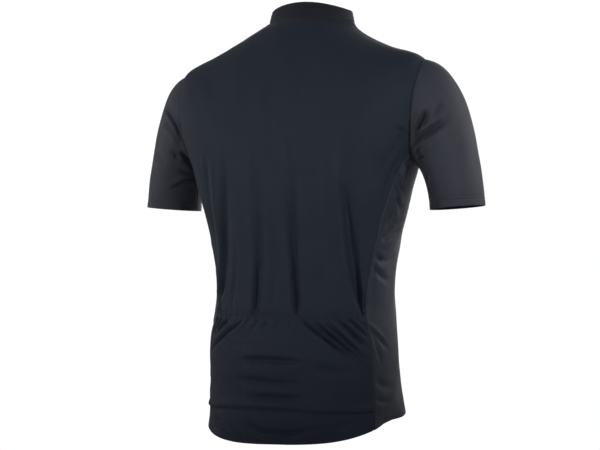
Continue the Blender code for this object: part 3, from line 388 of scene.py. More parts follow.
# The cloth pieces: what each stands for, its finish, the cloth it is cut from and its flat area, in metres
PIECE_COLUMNS = ("node", "slot", "knit", "width", "length", "area")
PIECES = {
    "back_cloth": ("back_panel", "back_knit", "back_knit", 0.46, 0.72, 0.275),
    "front_left_cloth": ("front_left", "sleeve_knit", "sleeve_knit", 0.27, 0.66, 0.133),
    "front_right_cloth": ("front_right", "sleeve_knit", "sleeve_knit", 0.27, 0.66, 0.133),
    "side_left_cloth": ("side_panel_left", "side_knit", "side_knit", 0.14, 0.46, 0.06),
    "side_right_cloth": ("side_panel_right", "side_knit", "side_knit", 0.14, 0.46, 0.06),
    "sleeve_left_cloth": ("sleeve_left", "sleeve_knit", "sleeve_knit", 0.46, 0.26, 0.07),
    "sleeve_right_cloth": ("sleeve_right", "sleeve_knit", "sleeve_knit", 0.46, 0.26, 0.07),
    "collar_cloth": ("collar", "sleeve_knit", "collar_knit", 0.42, 0.035, 0.0125),
    "pocket_cloth": ("pocket_panel", "back_knit", "back_knit", 0.35, 0.16, 0.0515),
    "band_cloth": ("pocket_band", "band_elastic", "band_elastic", 0.34, 0.014, 0.0045),
    "tape_left": ("zip_tape", "zip_cloth", "zip_cloth", 0.014, 0.69, 0.0045),
    "tape_right": ("zip_tape", "zip_cloth", "zip_cloth", 0.014, 0.69, 0.0045),
}
SIDES = (("left", 1, LEFT_SLEEVE_FOLDS), ("right", -1, RIGHT_SLEEVE_FOLDS))

# Knits, with the second shade of their mottling, which is also the colour their holes are painted towards as
# painted shade. Pitch and relief are the knit's own, in millimetres; the last column is how much painted
# shade the holes get.
KNIT_COLUMNS = ("colour", "shade", "roughness", "specular", "sheen", "pitch", "relief", "hole_shade")
KNITS = {
    "back_knit": ((0.0115, 0.0160, 0.0265), (0.0085, 0.0119, 0.0200), 0.72, 0.16, 0.03, 1.10, 0.10, 0.35),
    "side_knit": ((0.0178, 0.0220, 0.0325), (0.0124, 0.0154, 0.0235), 0.66, 0.22, 0.05, 1.60, 0.16, 0.75),
    "sleeve_knit": ((0.0207, 0.0227, 0.0332), (0.0172, 0.0191, 0.0282), 0.68, 0.26, 0.05, 0.90, 0.06, 0.15),
    "collar_knit": ((0.0080, 0.0096, 0.0146), (0.0062, 0.0076, 0.0116), 0.66, 0.20, 0.04, 0.70, 0.06, 0.15),
    "band_elastic": ((0.0110, 0.0150, 0.0245), (0.0080, 0.0109, 0.0178), 0.75, 0.16, 0.03, 0.90, 0.12, 0.40),
    "zip_cloth": ((0.0080, 0.0088, 0.0110), (0.0060, 0.0066, 0.0084), 0.70, 0.20, 0.03, 0.80, 0.12, 0.30),
}
KNIT_COURSES, KNIT_WALE, KNIT_BUMP, SHEEN_ROUGHNESS = 0.8, 0.25, 0.6, 0.45
MOTTLE, MOTTLE_SHARE, MOTTLE_ROUGHNESS = 42.0, 0.55, 0.1
FLECK, FLECK_SHARE, FLECK_HEIGHT = 900.0, 0.25, 0.5

# Thread, coil and metal, with a fine grain
HARD_COLUMNS = ("colour", "roughness", "metallic", "grain")
HARD_FINISHES = {
    "thread": ((0.0100, 0.0130, 0.0210), 0.5, 0.0, 0.0),
    "coil": ((0.010, 0.011, 0.013), 0.35, 0.0, 0.0),
    "dark_metal": ((0.030, 0.031, 0.034), 0.38, 0.8, 0.02),
}
GRAIN, GRAIN_SHADE, GRAIN_ROUGHNESS, GRAIN_BUMP = 1500.0, 0.7, 0.12, 0.3

# Slider and pull: their rounded edges, and the angles that count as an edge
SLIDER_EDGE, PULL_EDGE, BEVEL_SEGMENTS, SAME_POINT = 0.25 * MM, 0.3 * MM, 2, 0.001 * MM
FLAT_ANGLE, BEVEL_ANGLE, SHARP_ANGLE = math.radians(1), math.radians(30), math.radians(40)

# Camera, floor and light. The camera looks at the back from a little to the wearer's right.
CAMERA_TURN = math.radians(204)
CAMERA_DISTANCE = 2.3
CAMERA_SHIFT, CAMERA_HEIGHT = -19.8 * MM, -331.7 * MM
LENS, SENSOR = 83.64, 36.0
FLOOR, FLOOR_HALF, FLOOR_SHADE, FLOOR_ROUGHNESS, FLOOR_GLOW = -1.45, 3.0, 0.9, 0.8, 0.66
BACKDROP, SOFT_LIGHT = 1.02, 0.25
WHITE = (1.0, 1.0, 1.0, 1.0)
LIGHT_AIM = 0.085
LIGHT_COLUMNS = ("name", "right", "towards", "up", "width", "height", "spread", "watts")
LIGHTS = (
    ("right_rim", 1.5, -0.5, 0.5, 0.7, 0.5, 40, 0.8),
    ("left_rim", -2.1, -0.7, 0.4, 1.0, 1.6, 180, 10.5),
    ("left_key", -2.2, 1.4, 0.1, 0.6, 0.6, 26, 0.78),
    ("right_fill", 1.2, 1.4, 0.45, 0.6, 0.4, 32, 0.64),
    ("back_box", 0.3, 2.7, 0.3, 0.9, 0.5, 22, 0.55),
    ("top_box", 0.0, 0.4, 2.2, 2.4, 1.6, 180, 2.0),
    ("front_box", 0.4, -2.6, 0.6, 2.0, 2.0, 180, 50.0),
)


class Spline:
    """A natural cubic through rows of values, or a closed one when it has a period."""

    def __init__(self, knots, rows, period=None):
        knots, rows = np.array(knots, float), np.array(rows, float)
        if period:
            wrap = 3
            knots = np.concatenate([knots[-wrap:] - period, knots, knots[:wrap] + period])
            rows = np.concatenate([rows[-wrap:], rows, rows[:wrap]])
        step = np.diff(knots)
        slope = np.diff(rows, axis=0) / step[:, None]
        matrix = np.eye(len(knots))
        right = np.zeros_like(rows)
        for i in range(1, len(knots) - 1):
            matrix[i, i - 1 : i + 2] = step[i - 1], 2 * (step[i - 1] + step[i]), step[i]
            right[i] = 6 * (slope[i] - slope[i - 1])
        self.knots, self.rows, self.period = knots, rows, period
        self.curve = np.linalg.solve(matrix, right)

    def __call__(self, at):
        at = np.asarray(at, float)
        if self.period:
            at = at % self.period
        i = np.clip(np.searchsorted(self.knots, at, side="right") - 1, 0, len(self.knots) - 2)
        step = (self.knots[i + 1] - self.knots[i])[..., None]
        after = (at - self.knots[i])[..., None]
        before = step - after
        bend = (self.curve[i] * before**3 + self.curve[i + 1] * after**3) / (6 * step)
        start = self.rows[i] / step - self.curve[i] * step / 6
        end = self.rows[i + 1] / step - self.curve[i + 1] * step / 6
        return bend + start * before + end * after


def spline_of(rows, columns=(), lengths=(), period=None):
    """A spline over a table's first column. The named lengths go from millimetres to metres."""
    rows = np.array(rows, float)
    for i, name in enumerate(columns):
        if name in lengths:
            rows[:, i] *= MM
    return Spline(rows[:, 0], rows[:, 1:], period)


ring_at = spline_of(
    [(i, *row) for i, row in enumerate(RINGS)],
    ("ring", *RING_COLUMNS),
    [name for name in RING_COLUMNS if name not in ("square", "sweep")],
)
armhole_at = spline_of(ARMHOLE, period=360.0)
side_seams_at = spline_of(SIDE_SEAMS)
sleeve_start_at = spline_of(SLEEVE_START, SLEEVE_START_COLUMNS, ("reach",), 360.0)
pocket_foot_at = spline_of(POCKET_FOOT)


def signed_power(value, power):
    return np.sign(value) * np.abs(value) ** power


def unit(vectors):
    return vectors / np.maximum(np.linalg.norm(vectors, axis=-1, keepdims=True), 1e-12)


def smooth(share):
    """Eases a share from 0 to 1, flat at both ends."""
    share = np.clip(share, 0, 1)
    return share * share * (3 - 2 * share)


def bell(distance, height, width):
    """A round ridge along a line: its height there, and next to nothing two widths away."""
    return height * np.exp(-((distance / width) ** 2))


def wave(place, length, start=0.0):
    """A sine of this length along a place, started this far into its turn."""
    return np.sin(2 * math.pi * place / length + start)


def through(first, middle, last, share):
    """A parabola that passes its three values at shares 0, 0.5 and 1."""
    near, far = (1 - share) * (1 - 2 * share), share * (2 * share - 1)
    return first * near + 4 * middle * share * (1 - share) + last * far


def torso_form(angle, ring):
    """The torso with no folds. The angle runs from centre back, + towards the wearer's left."""
    angle, ring = np.broadcast_arrays(np.radians(angle), ring)
    half_width, side_y, back_y, front_y, side_z, back_z, front_z, square, sweep, lean = np.moveaxis(
        ring_at(ring), -1, 0
    )
    across, towards_back = np.sin(angle), np.cos(angle)
    is_back = towards_back > 0
    depth = np.where(is_back, back_y - side_y, side_y - front_y)
    back_rise = (back_z - side_z) * (1 - np.abs(across) ** sweep)
    front_rise = (front_z - side_z) * towards_back**2
    x = half_width * signed_power(across, 2 / square)
    y = side_y + depth * signed_power(towards_back, 2 / square)
    z = side_z + np.where(is_back, back_rise, front_rise) - lean * across
    return np.stack([x, y, z], axis=-1)


def normals_of(surface, u, v, probe, facing=1.0):
    """The surface's normals, each from points a probe's steps away on either side."""
    step_u, step_v = probe
    along_u = surface(u + step_u, v) - surface(u - step_u, v)
    along_v = surface(u, v + step_v) - surface(u, v - step_v)
    return facing * unit(np.cross(along_u, along_v))


def fold_depth(points, form, folds, probe, facing=1.0):
    """How far the folds of a form press each of its points in."""
    flat = points.reshape(-1, 3)
    total = np.zeros(len(flat))
    share = np.linspace(0, 1, FOLD_STEPS)
    for u1, v1, u2, v2, u3, v3, peak, start, end, skew, depth in folds:
        u, v = through(u1, u2, u3, share), through(v1, v2, v3, share)
        path = form(u, v)
        reach = FOLD_REACH * max(start, end) * MM
        near = ((flat > path.min(0) - reach) & (flat < path.max(0) + reach)).all(1)
        if not near.any():
            continue
        run = np.diff(path, axis=0)
        across = np.cross(normals_of(form, u, v, probe, facing)[:-1], run)
        offset = flat[near][:, None] - path[:-1]
        part = np.clip((offset * run).sum(-1) / (run * run).sum(-1), 0, 1)
        distance = np.linalg.norm(offset - part[..., None] * run, axis=-1)
        nearest = distance.argmin(-1)[:, None]
        along = (nearest + np.take_along_axis(part, nearest, -1))[:, 0] / len(run)
        side = np.take_along_axis((offset * across).sum(-1), nearest, -1)[:, 0]
        turned = np.tanh(side / (np.abs(side).max() * FOLD_TURN))
        width = (start + (end - start) * along) * MM * (1 + skew * turned)
        distance = np.take_along_axis(distance, nearest, -1)[:, 0]
        away = ((np.hypot(distance, FOLD_ROUND * MM) - FOLD_ROUND * MM) / width) ** FOLD_POINT
        fade = smooth(FOLD_HOLD * np.minimum(along / peak, (1 - along) / (1 - peak)))
        total[near] += depth * MM * fade * (1 - FOLD_SHOULDER * away) * np.exp(-away)
    return total.reshape(points.shape[:-1])


def swell(points):
    """How far the slow swells of the cloth raise each point."""
    total = np.zeros(points.shape[:-1])
    for x, y, z, length, start, height in SWELLS:
        total += height * MM * wave(points @ unit(np.array([x, y, z])), length * MM, start)
    return total


def torso_form_normals(angle, ring):
    """Outward normals of the torso with no folds."""
    return normals_of(torso_form, angle, ring, TORSO_PROBE)


def gathers(angle, ring, points):
    """Small upright ripples where the pocket elastic draws the cloth in."""
    level = points[..., 2] - torso_form(angle, np.full(np.shape(ring), GATHER_RING))[..., 2]
    ripple = sum(share * wave(points[..., 0], each * MM, start) for each, start, share in GATHERS)
    return bell(level, GATHER * ripple, GATHER_REACH) * smooth((GATHER_END - np.abs(angle)) / GATHER_FADE)


def torso(angle, ring):
    """The torso with its folds."""
    angle, ring = np.broadcast_arrays(np.asarray(angle, float), np.asarray(ring, float))
    points = torso_form(angle, ring)
    pressed = fold_depth(points, torso_form, TORSO_FOLDS, TORSO_PROBE)
    raised = swell(points) + gathers(angle, ring, points) - pressed
    return points + raised[..., None] * torso_form_normals(angle, ring)


def line_length(points):
    """How far along a line of points each of them lies."""
    return np.concatenate([[0.0], np.cumsum(np.linalg.norm(np.diff(points, axis=0), axis=-1))])


def graded(length, step, marks=()):
    """Places from 0 to a length, about a step apart, and closer together towards each mark."""
    at = np.linspace(0, length, LENGTH_SAMPLES)
    size = np.full_like(at, step)
    for place, least in marks:
        size = np.minimum(size, least + GRADE * np.abs(at - place))
    count = np.concatenate([[0], np.cumsum(2 * np.diff(at) / (size[1:] + size[:-1]))])
    return np.interp(np.linspace(0, count[-1], math.ceil(count[-1]) + 1), count, at)


def shares_along(length, step, marks=()):
    """The same places as shares from 0 to 1."""
    return graded(length, step, marks) / length


def seam_marks(*places):
    return [(place, SEAM_STEP) for place in places]


def hem_rows(turn):
    """How far the two rows of stitches of a turned edge lie from it."""
    return turn, turn - TWIN_ROWS


def hem_marks(length, turn):
    return seam_marks(length, *(length - row for row in hem_rows(turn)))


def mirrored(shares):
    """Shares from 0 to 1, carried on to -1 on the other side."""
    return np.concatenate([-shares[:0:-1], shares])


def run_from(grid, edge):
    """How far each point of a grid lies from one of its edges, along the cloth."""
    axis = 1 if edge in ("left", "right") else 0
    steps = np.linalg.norm(np.diff(grid, axis=axis), axis=-1)
    start = np.zeros_like(grid[:, :1, 0] if axis else grid[:1, :, 0])
    run = np.concatenate([start, np.cumsum(steps, axis=axis)], axis=axis)
    if edge in ("right", "bottom"):
        run = (run[:, -1:] if axis else run[-1:]) - run
    return run


def along_edge(grid, edge):
    """How far along an edge each point's row or column meets it."""
    line = {"left": grid[:, 0], "right": grid[:, -1], "top": grid[0], "bottom": grid[-1]}[edge]
    run = line_length(line)
    return run[:, None] if edge in ("left", "right") else run[None]


def seam_press(distance, place, share):
    """How far a seam draws the cloth in, at a distance from it and a place along it."""
    groove = share * SEAM_DEPTH * np.exp(-((distance / SEAM_WIDTH) ** 2) / np.maximum(share, 1.0))
    ridge = bell(distance - SEAM_RIDGE_AT, SEAM_RIDGE, SEAM_RIDGE_WIDTH)
    pucker = PUCKER * wave(place, PUCKER_LENGTH, PUCKER_WANDER * wave(place, PUCKER_DRIFT))
    uneven = 1 - PUCKER_UNEVEN + PUCKER_UNEVEN * wave(place, PUCKER_PATCH, 1.0)
    reach = (1 - np.exp(-distance / PUCKER_START)) * np.exp(-distance / PUCKER_REACH)
    return groove - ridge + pucker * uneven * reach


def sewn_press(grid, **shares):
    """How far the seams along a grid's named edges draw it in, each as deep as its share says."""
    edges = shares.items()
    return sum(seam_press(run_from(grid, edge), along_edge(grid, edge), share) for edge, share in edges)


def seam_share(edge_ring):
    """How deep a panel's side edge is drawn in, row by row: less along the armhole than down the side."""
    below_arm = smooth((edge_ring - armhole_at(BACK_CORNER_TURN)[1]) / SIDE_SEAM_START)
    return (ARMHOLE_SHARE + (SIDE_SHARE - ARMHOLE_SHARE) * below_arm)[:, None]


def stitch_press(distance, rows):
    """How far rows of stitches at these distances from an edge draw the cloth in."""
    return sum(bell(distance - row, STITCH_GROOVE, STITCH_GROOVE_WIDTH) for row in rows)


def facing_out(grid, outwards):
    """The grid's normals, turned to the side that a rough outward direction names."""
    normals = unit(np.cross(np.gradient(grid, axis=0), np.gradient(grid, axis=1)))
    return normals * np.sign((normals * outwards).sum())


def press_in(points, outwards, pressed):
    """The points moved in by this much, and their new normals."""
    points = points - pressed[..., None] * facing_out(points, outwards)
    return points, facing_out(points, outwards)


def hemmed(from_edge, turn):
    """How thick the cloth is where its edge is turned in."""
    return CLOTH + (HEM_CLOTH - CLOTH) * smooth((turn - from_edge) / TURN_EDGE + 0.5)


class Tree:
    """A few words for writing node trees."""

    def __init__(self, tree):
        self.tree = tree

    def add(self, kind, inputs=(), **settings):
        node = self.tree.nodes.new(kind)
        for name, value in settings.items():
            setattr(node, name, value)
        self.feed(node, inputs)
        return node

    def feed(self, node, inputs):
        """Gives a node's inputs their values, or the sockets that they read."""
        for name, value in dict(inputs).items():
            if isinstance(value, bpy.types.NodeSocket):
                self.tree.links.new(value, node.inputs[name])
            else:
                node.inputs[name].default_value = value

    def chain(self, *nodes):
        """Joins the first output of each node to the first input of the next."""
        for node, following in zip(nodes[:-1], nodes[1:]):
            self.feed(following, {0: node.outputs[0]})

    def maths(self, operation, *values):
        return self.add("ShaderNodeMath", enumerate(values), operation=operation).outputs[0]

    def total(self, start, *terms):
        """A start value and these sockets, each times its factor, added up."""
        for value, factor in terms:
            start = self.maths("MULTIPLY_ADD", value, factor, start)
        return start

    def noise(self, where, scale, detail):
        sizes = {"Vector": where, "Scale": scale, "Detail": detail}
        return self.add("ShaderNodeTexNoise", sizes).outputs["Fac"]

    def mix(self, share, first, second):
        colours = {0: share, 6: (*first, 1.0), 7: (*second, 1.0)}
        return self.add("ShaderNodeMix", colours, data_type="RGBA").outputs[2]

    def bump(self, height, strength, depth):
        sizes = {"Height": height, "Strength": strength, "Distance": depth * MM}
        return self.add("ShaderNodeBump", sizes).outputs[0]


def new_material(name):
    material = bpy.data.materials.new(name)
    material.use_nodes = True
    return material, Tree(material.node_tree), material.node_tree.nodes["Principled BSDF"]


@cache
def knit(name):
    """The named cloth, made once: a fine open knit with slow mottling, small flecks and painted shade in its
    holes.
    """
    colour, shade, roughness, specular, sheen, pitch, relief, hole_shade = KNITS[name]
    material, tree, shader = new_material(name + "_cloth")
    where = tree.add("ShaderNodeTexCoord").outputs
    places = tree.add("ShaderNodeSeparateXYZ", {0: where["UV"]}).outputs
    turn = 2 * math.pi / (pitch * MM)
    wales = tree.maths("SINE", tree.maths("MULTIPLY", places[0], turn))
    courses = tree.maths("SINE", tree.maths("MULTIPLY", places[1], turn * KNIT_COURSES))
    cells = tree.maths("MAXIMUM", tree.maths("MULTIPLY", wales, courses), 0.0)
    hole = tree.maths("POWER", cells, 2.0)
    mottle = tree.noise(where["Object"], MOTTLE, 3.0)
    fleck = tree.noise(where["Object"], FLECK, 1.0)
    # The colour darkens in the knit's holes as painted shade, and with the slow mottling and small flecks as
    # the cloth's own tone.
    share = tree.total(0.0, (hole, hole_shade), (mottle, MOTTLE_SHARE), (fleck, FLECK_SHARE))
    height = tree.total(0.0, (wales, KNIT_WALE), (hole, -1.0), (fleck, FLECK_HEIGHT))
    looks = {
        "Base Color": tree.mix(share, colour, shade),
        "Roughness": tree.total(roughness - MOTTLE_ROUGHNESS / 2, (mottle, MOTTLE_ROUGHNESS)),
        "Normal": tree.bump(height, KNIT_BUMP, relief),
        "Specular IOR Level": specular,
        "Sheen Weight": sheen,
        "Sheen Roughness": SHEEN_ROUGHNESS,
    }
    tree.feed(shader, looks)
    return material


def hard_finish(name):
    """A thread, coil or metal with a little grain."""
    colour, roughness, metallic, grain = HARD_FINISHES[name]
    material, tree, shader = new_material(name)
    speck = tree.noise(tree.add("ShaderNodeTexCoord").outputs["Object"], GRAIN, 2.0)
    looks = {
        "Base Color": tree.mix(speck, colour, [GRAIN_SHADE * value for value in colour]),
        "Roughness": tree.total(roughness, (speck, GRAIN_ROUGHNESS)),
        "Normal": tree.bump(speck, GRAIN_BUMP, grain),
        "Metallic": metallic,
    }
    tree.feed(shader, looks)
    return material


def place_object(name, data):
    """A new object in the scene that shows this mesh, light or camera."""
    item = bpy.data.objects.new(name, data)
    bpy.context.collection.objects.link(item)
    return item


def wall_mesh(name, outer, normals, thickness, sewn):
    """A thin closed wall under a grid of outer points, with its map in metres of cloth.

    Its free edges have rounded rims, and its sewn ones are tucked under the piece beside them.
    """
    rows, columns = outer.shape[:2]
    count = rows * columns
    thickness = np.broadcast_to(thickness, (rows, columns))[..., None]
    inner = outer - normals * thickness
    index = np.arange(count).reshape(rows, columns)
    across, middle = run_from(outer, "left"), columns // 2
    across = across - across[:, middle : middle + 1]
    place = np.stack([across, -run_from(outer, "top")], axis=-1).reshape(-1, 2)
    points = [outer.reshape(-1, 3), inner.reshape(-1, 3)]
    places = [place, place]
    a, b, c, d = index[:-1, :-1], index[1:, :-1], index[1:, 1:], index[:-1, 1:]
    quads = [np.stack([a, b, c, d], -1).reshape(-1, 4), count + np.stack([a, d, c, b], -1).reshape(-1, 4)]
    total = 2 * count
    borders = (
        ("top", index[0], index[1], False),
        ("bottom", index[-1], index[-2], True),
        ("left", index[:, 0], index[:, 1], True),
        ("right", index[:, -1], index[:, -2], False),
    )
    for side, line, beside, turned in borders:
        edge, within = points[0][line], points[0][beside]
        reach, depth = thickness.reshape(-1, 1)[line] * RIM_TUCK, RIM_DEPTH
        if side in sewn:
            reach, depth = SEAM_TUCK, SEAM_TUCK_DEPTH
        points.append(edge + (points[1][line] - edge) * depth + unit(edge - within) * reach)
        places.append(place[line])
        rim = total + np.arange(len(line))
        total += len(line)
        for first, second in ((line, rim), (rim, count + line)):
            strip = np.stack([first[:-1], first[1:], second[1:], second[:-1]], -1)
            quads.append(strip[:, ::-1] if turned else strip)
    points, places, quads = np.concatenate(points), np.concatenate(places), np.concatenate(quads)
    corners = points[quads[: (rows - 1) * (columns - 1)]]
    lean = np.cross(corners[:, 1] - corners[:, 0], corners[:, 2] - corners[:, 0])
    if (lean * normals[:-1, :-1].reshape(-1, 3)).sum() < 0:
        quads = quads[:, ::-1]
    mesh = bpy.data.meshes.new(name)
    mesh.from_pydata(points.tolist(), [], quads.tolist())
    uv = mesh.uv_layers.new(name="Cloth")
    corner_of = np.empty(len(mesh.loops), dtype=np.int32)
    mesh.loops.foreach_get("vertex_index", corner_of)
    uv.data.foreach_set("uv", places[corner_of].astype(np.float32).ravel())
    mesh.shade_smooth()
    return mesh


def lay_shell(name, outer, normals, thickness, sewn=()):
    """Lays a cloth piece over its solid, in its knit, and hides the solid."""
    node, slot, cloth, width, length, area = PIECES[name]
    piece = place_object(name, wall_mesh(name, outer, normals, thickness, sewn))
    piece.data.materials.append(knit(cloth))
    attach(piece, BODY)
    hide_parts(node)


def panel_rows(turns, seam_column, middle_angle, step):
    """Row by row, the angle and ring of a panel's side edge and the ring of its middle line.

    The side edge has three stretches: the shoulder, its part of the armhole and the side seam.
    """
    shoulder = np.linspace(0, SHOULDER_RING, EDGE_SAMPLES)
    armhole = armhole_at(np.linspace(*turns, EDGE_SAMPLES))
    lower = np.linspace(armhole[-1, 1], HEM_RING, EDGE_SAMPLES)
    side_seam = np.stack([side_seams_at(lower)[:, seam_column], lower], -1)
    stretches = np.stack([np.full_like(shoulder, 90.0), shoulder], -1), armhole, side_seam
    lengths = [line_length(torso_form(*line.T)) for line in stretches]
    marks = seam_marks(0), (), hem_marks(lengths[-1][-1], HEM_TURN)
    places, lines, start = [], [], 0.0
    for line, run, mark in zip(stretches, lengths, marks):
        at = graded(run[-1], step, mark)
        places.append(start + at)
        lines.append(np.stack([np.interp(at, run, column) for column in line.T], -1))
        start += run[-1]
    place, edge = (np.concatenate([part[0], part[1][1:], part[2][1:]]) for part in (places, lines))
    rings = np.linspace(0, HEM_RING, 4 * EDGE_SAMPLES)
    middle = line_length(torso_form(middle_angle, rings))
    return edge[:, 0], edge[:, 1], np.interp(place / start * middle[-1], middle, rings)


def build_back():
    """The back panel, drawn in a little where the pockets hide it."""
    edge_angle, edge_ring, middle_ring = panel_rows((0, BACK_CORNER_TURN), 0, 0.0, BACK_ROW_STEP)
    shares = mirrored(shares_along(BACK_HALF_WIDTH, BACK_STEP, seam_marks(BACK_HALF_WIDTH)))
    angle = edge_angle[:, None] * shares
    ring = middle_ring[:, None] + (edge_ring - middle_ring)[:, None] * shares**2
    points = torso(angle, ring)
    depth = seam_share(edge_ring)
    from_hem = run_from(points, "bottom")
    pressed = sewn_press(points, top=1.0, left=depth, right=depth)
    pressed += stitch_press(from_hem, hem_rows(HEM_TURN))
    past_foot = ring - pocket_foot_at(shares)[..., 0]
    below_top = smooth((ring - POCKET_TOP_RING) / UNDER_TOP_FADE - 0.5)
    pressed += UNDER_POCKET * below_top * smooth(-past_foot / UNDER_FOOT_FADE)
    inside = smooth((1 - np.abs(shares)) / FOOT_GROOVE_FADE)
    pressed += bell(past_foot * TAIL_RING_HEIGHT, FOOT_GROOVE, FOOT_GROOVE_WIDTH) * inside
    points, normals = press_in(points, BACKWARDS, pressed)
    lay_shell("back_cloth", points, normals, hemmed(from_hem, HEM_TURN), ("top", "left", "right"))
    return points


def zip_edge_angle(ring, distance):
    """The angle at which the front of a ring lies this far from the centre line."""
    row = ring_at(ring)
    half_width, square = row[..., RING_COLUMNS.index("half_width")], row[..., RING_COLUMNS.index("square")]
    return 180.0 - np.degrees(np.arcsin((distance / half_width) ** (square / 2)))


def build_front(name, side):
    """A front, from its side edge to the zip."""
    edge_angle, edge_ring, middle_ring = panel_rows((360, FRONT_CORNER_TURN), 1, 180.0, FRONT_ROW_STEP)
    shares = shares_along(FRONT_WIDTH, FRONT_STEP, seam_marks(0, FRONT_WIDTH, FRONT_WIDTH - ZIP_TURN))
    ring = middle_ring[:, None] + (edge_ring - middle_ring)[:, None] * (1 - shares) ** 2
    angle = side * (edge_angle[:, None] + (zip_edge_angle(ring, ZIP_EDGE) - edge_angle[:, None]) * shares)
    points = torso(angle, ring)
    points[:, -1, 0] = side * ZIP_EDGE
    from_hem, from_zip = run_from(points, "bottom"), run_from(points, "right")
    pressed = sewn_press(points, top=1.0, left=seam_share(edge_ring))
    pressed += stitch_press(from_hem, hem_rows(HEM_TURN)) + stitch_press(from_zip, (ZIP_TURN,))
    points, normals = press_in(points, FORWARDS, pressed)
    lay_shell(name, points, normals, hemmed(from_hem, HEM_TURN), ("top", "left"))
    return points


def build_side(name, side):
    """A side panel, whose rows bend up to the foot of the armhole."""
    rings = np.linspace(armhole_at(BACK_CORNER_TURN)[1], HEM_RING, EDGE_SAMPLES)
    line = line_length(torso_form(side_seams_at(rings)[:, 0], rings))
    place = graded(line[-1], SIDE_ROW_STEP, seam_marks(0) + hem_marks(line[-1], HEM_TURN))
    rings = np.interp(place, line, rings)
    shares = shares_along(SIDE_WIDTH, SIDE_STEP, seam_marks(0, SIDE_WIDTH))
    top_angles, top_rings = armhole_at(BACK_CORNER_TURN + (FRONT_CORNER_TURN - BACK_CORNER_TURN) * shares).T
    bent = (1 - place / line[-1])[:, None] ** SIDE_TOP_FADE
    ring = rings[:, None] + (top_rings - rings[0]) * bent
    seams = side_seams_at(rings)
    angle = seams[:, :1] + (seams[:, 1:] - seams[:, :1]) * shares
    angle += (top_angles - angle[0]) * bent
    points = torso(side * angle, ring)
    from_hem = run_from(points, "bottom")
    pressed = sewn_press(points, top=ARMHOLE_SHARE, left=SIDE_SHARE, right=SIDE_SHARE)
    pressed += stitch_press(from_hem, hem_rows(HEM_TURN))
    points, normals = press_in(points, np.array([side, 0, 0]), pressed)
    lay_shell(name, points, normals, hemmed(from_hem, HEM_TURN), ("top", "left", "right"))
    return points


class Sleeve:
    """One sleeve: turn runs round it as on the armhole, and along from 0 at the armhole to 1 at the cuff."""

    def __init__(self, side, folds):
        self.side, self.folds = side, folds
        turns = np.arange(0, 360, ARMHOLE_STEP)
        angle, ring = armhole_at(turns).T
        self.armhole = Spline(turns, torso(side * angle, ring), 360.0)

    def form(self, turn, along):
        turn, along = np.broadcast_arrays(turn, along)
        start = self.armhole(turn)
        outward, backward, upward, reach = np.moveaxis(sleeve_start_at(turn), -1, 0)
        leave = unit(np.stack([self.side * outward, backward, upward], axis=-1)) * reach[..., None]
        angle = np.radians(turn)
        across = CUFF_HALF_WIDTH * np.cos(angle)
        x = self.side * (CUFF_CENTRE[0] + across * math.cos(CUFF_TILT))
        y = CUFF_CENTRE[1] + CUFF_HALF_DEPTH * np.sin(angle)
        end = np.stack([x, y, CUFF_CENTRE[2] + across * math.sin(CUFF_TILT)], axis=-1)
        arrive = np.array([self.side * math.sin(CUFF_TILT), 0, -math.cos(CUFF_TILT)]) * CUFF_REACH
        t = along[..., None]
        leaving = (2 * t**3 - 3 * t**2 + 1) * start + (t**3 - 2 * t**2 + t) * leave
        return leaving + (3 * t**2 - 2 * t**3) * end + (t**3 - t**2) * arrive

    def normals(self, turn, along):
        return normals_of(self.form, turn, along, SLEEVE_PROBE, -self.side)

    def surface(self, turn, along):
        points = self.form(turn, along)
        pressed = fold_depth(points, self.form, self.folds, SLEEVE_PROBE, -self.side)
        raised = (swell(points) - pressed) * smooth(along / SLEEVE_SWELL_START)
        return points + raised[..., None] * self.normals(turn, along)


def build_sleeve(name, sleeve):
    """A sleeve, sewn up under the arm."""
    rows = shares_along(SLEEVE_LENGTH, SLEEVE_ROW_STEP, seam_marks(0) + hem_marks(SLEEVE_LENGTH, CUFF_TURN))
    turns = 180 + 360 * shares_along(SLEEVE_GIRTH, SLEEVE_STEP, seam_marks(0, SLEEVE_GIRTH))
    turn, along = np.broadcast_arrays(turns, rows[:, None])
    points = sleeve.surface(turn, along)
    points[:, -1] = points[:, 0]
    rough = sleeve.normals(turn, along)
    angle, ring = armhole_at(turns).T
    at_seam = torso_form_normals(sleeve.side * angle, ring)
    from_cuff = run_from(points, "bottom")
    share = smooth(run_from(points, "top") / SEAM_BLEND)[..., None]
    normals = unit(at_seam * (1 - share) + facing_out(points, rough) * share)
    normals[:, 0] = normals[:, -1] = unit(normals[:, 0] + normals[:, -1])
    pressed = sewn_press(points, top=ARMHOLE_SHARE) + UNDERARM_SHARE * sewn_press(points, left=1.0, right=1.0)
    pressed += stitch_press(from_cuff, hem_rows(CUFF_TURN))
    points = points - pressed[..., None] * normals
    normals = facing_out(points, rough)
    lay_shell(name, points, normals, hemmed(from_cuff, CUFF_TURN), ("top", "left", "right"))
    return points


def collar_surface(angle, up):
    """The collar: up runs from 0 at the neck seam to 1 at its top edge."""
    angle, up = np.broadcast_arrays(angle, up)
    base = torso(angle, np.zeros(angle.shape))
    half_width, side_y, back_y, front_y, side_z, back_z, front_z = np.array(COLLAR_TOP) * MM
    across, towards_back = np.sin(np.radians(angle)), np.cos(np.radians(angle))
    is_back = towards_back > 0
    y = side_y + np.where(is_back, back_y - side_y, side_y - front_y) * towards_back
    z = side_z + np.where(is_back, back_z - side_z, front_z - side_z) * towards_back**2
    top = np.stack([half_width * across, y, z], axis=-1)
    return base + (top - base) * up[..., None]


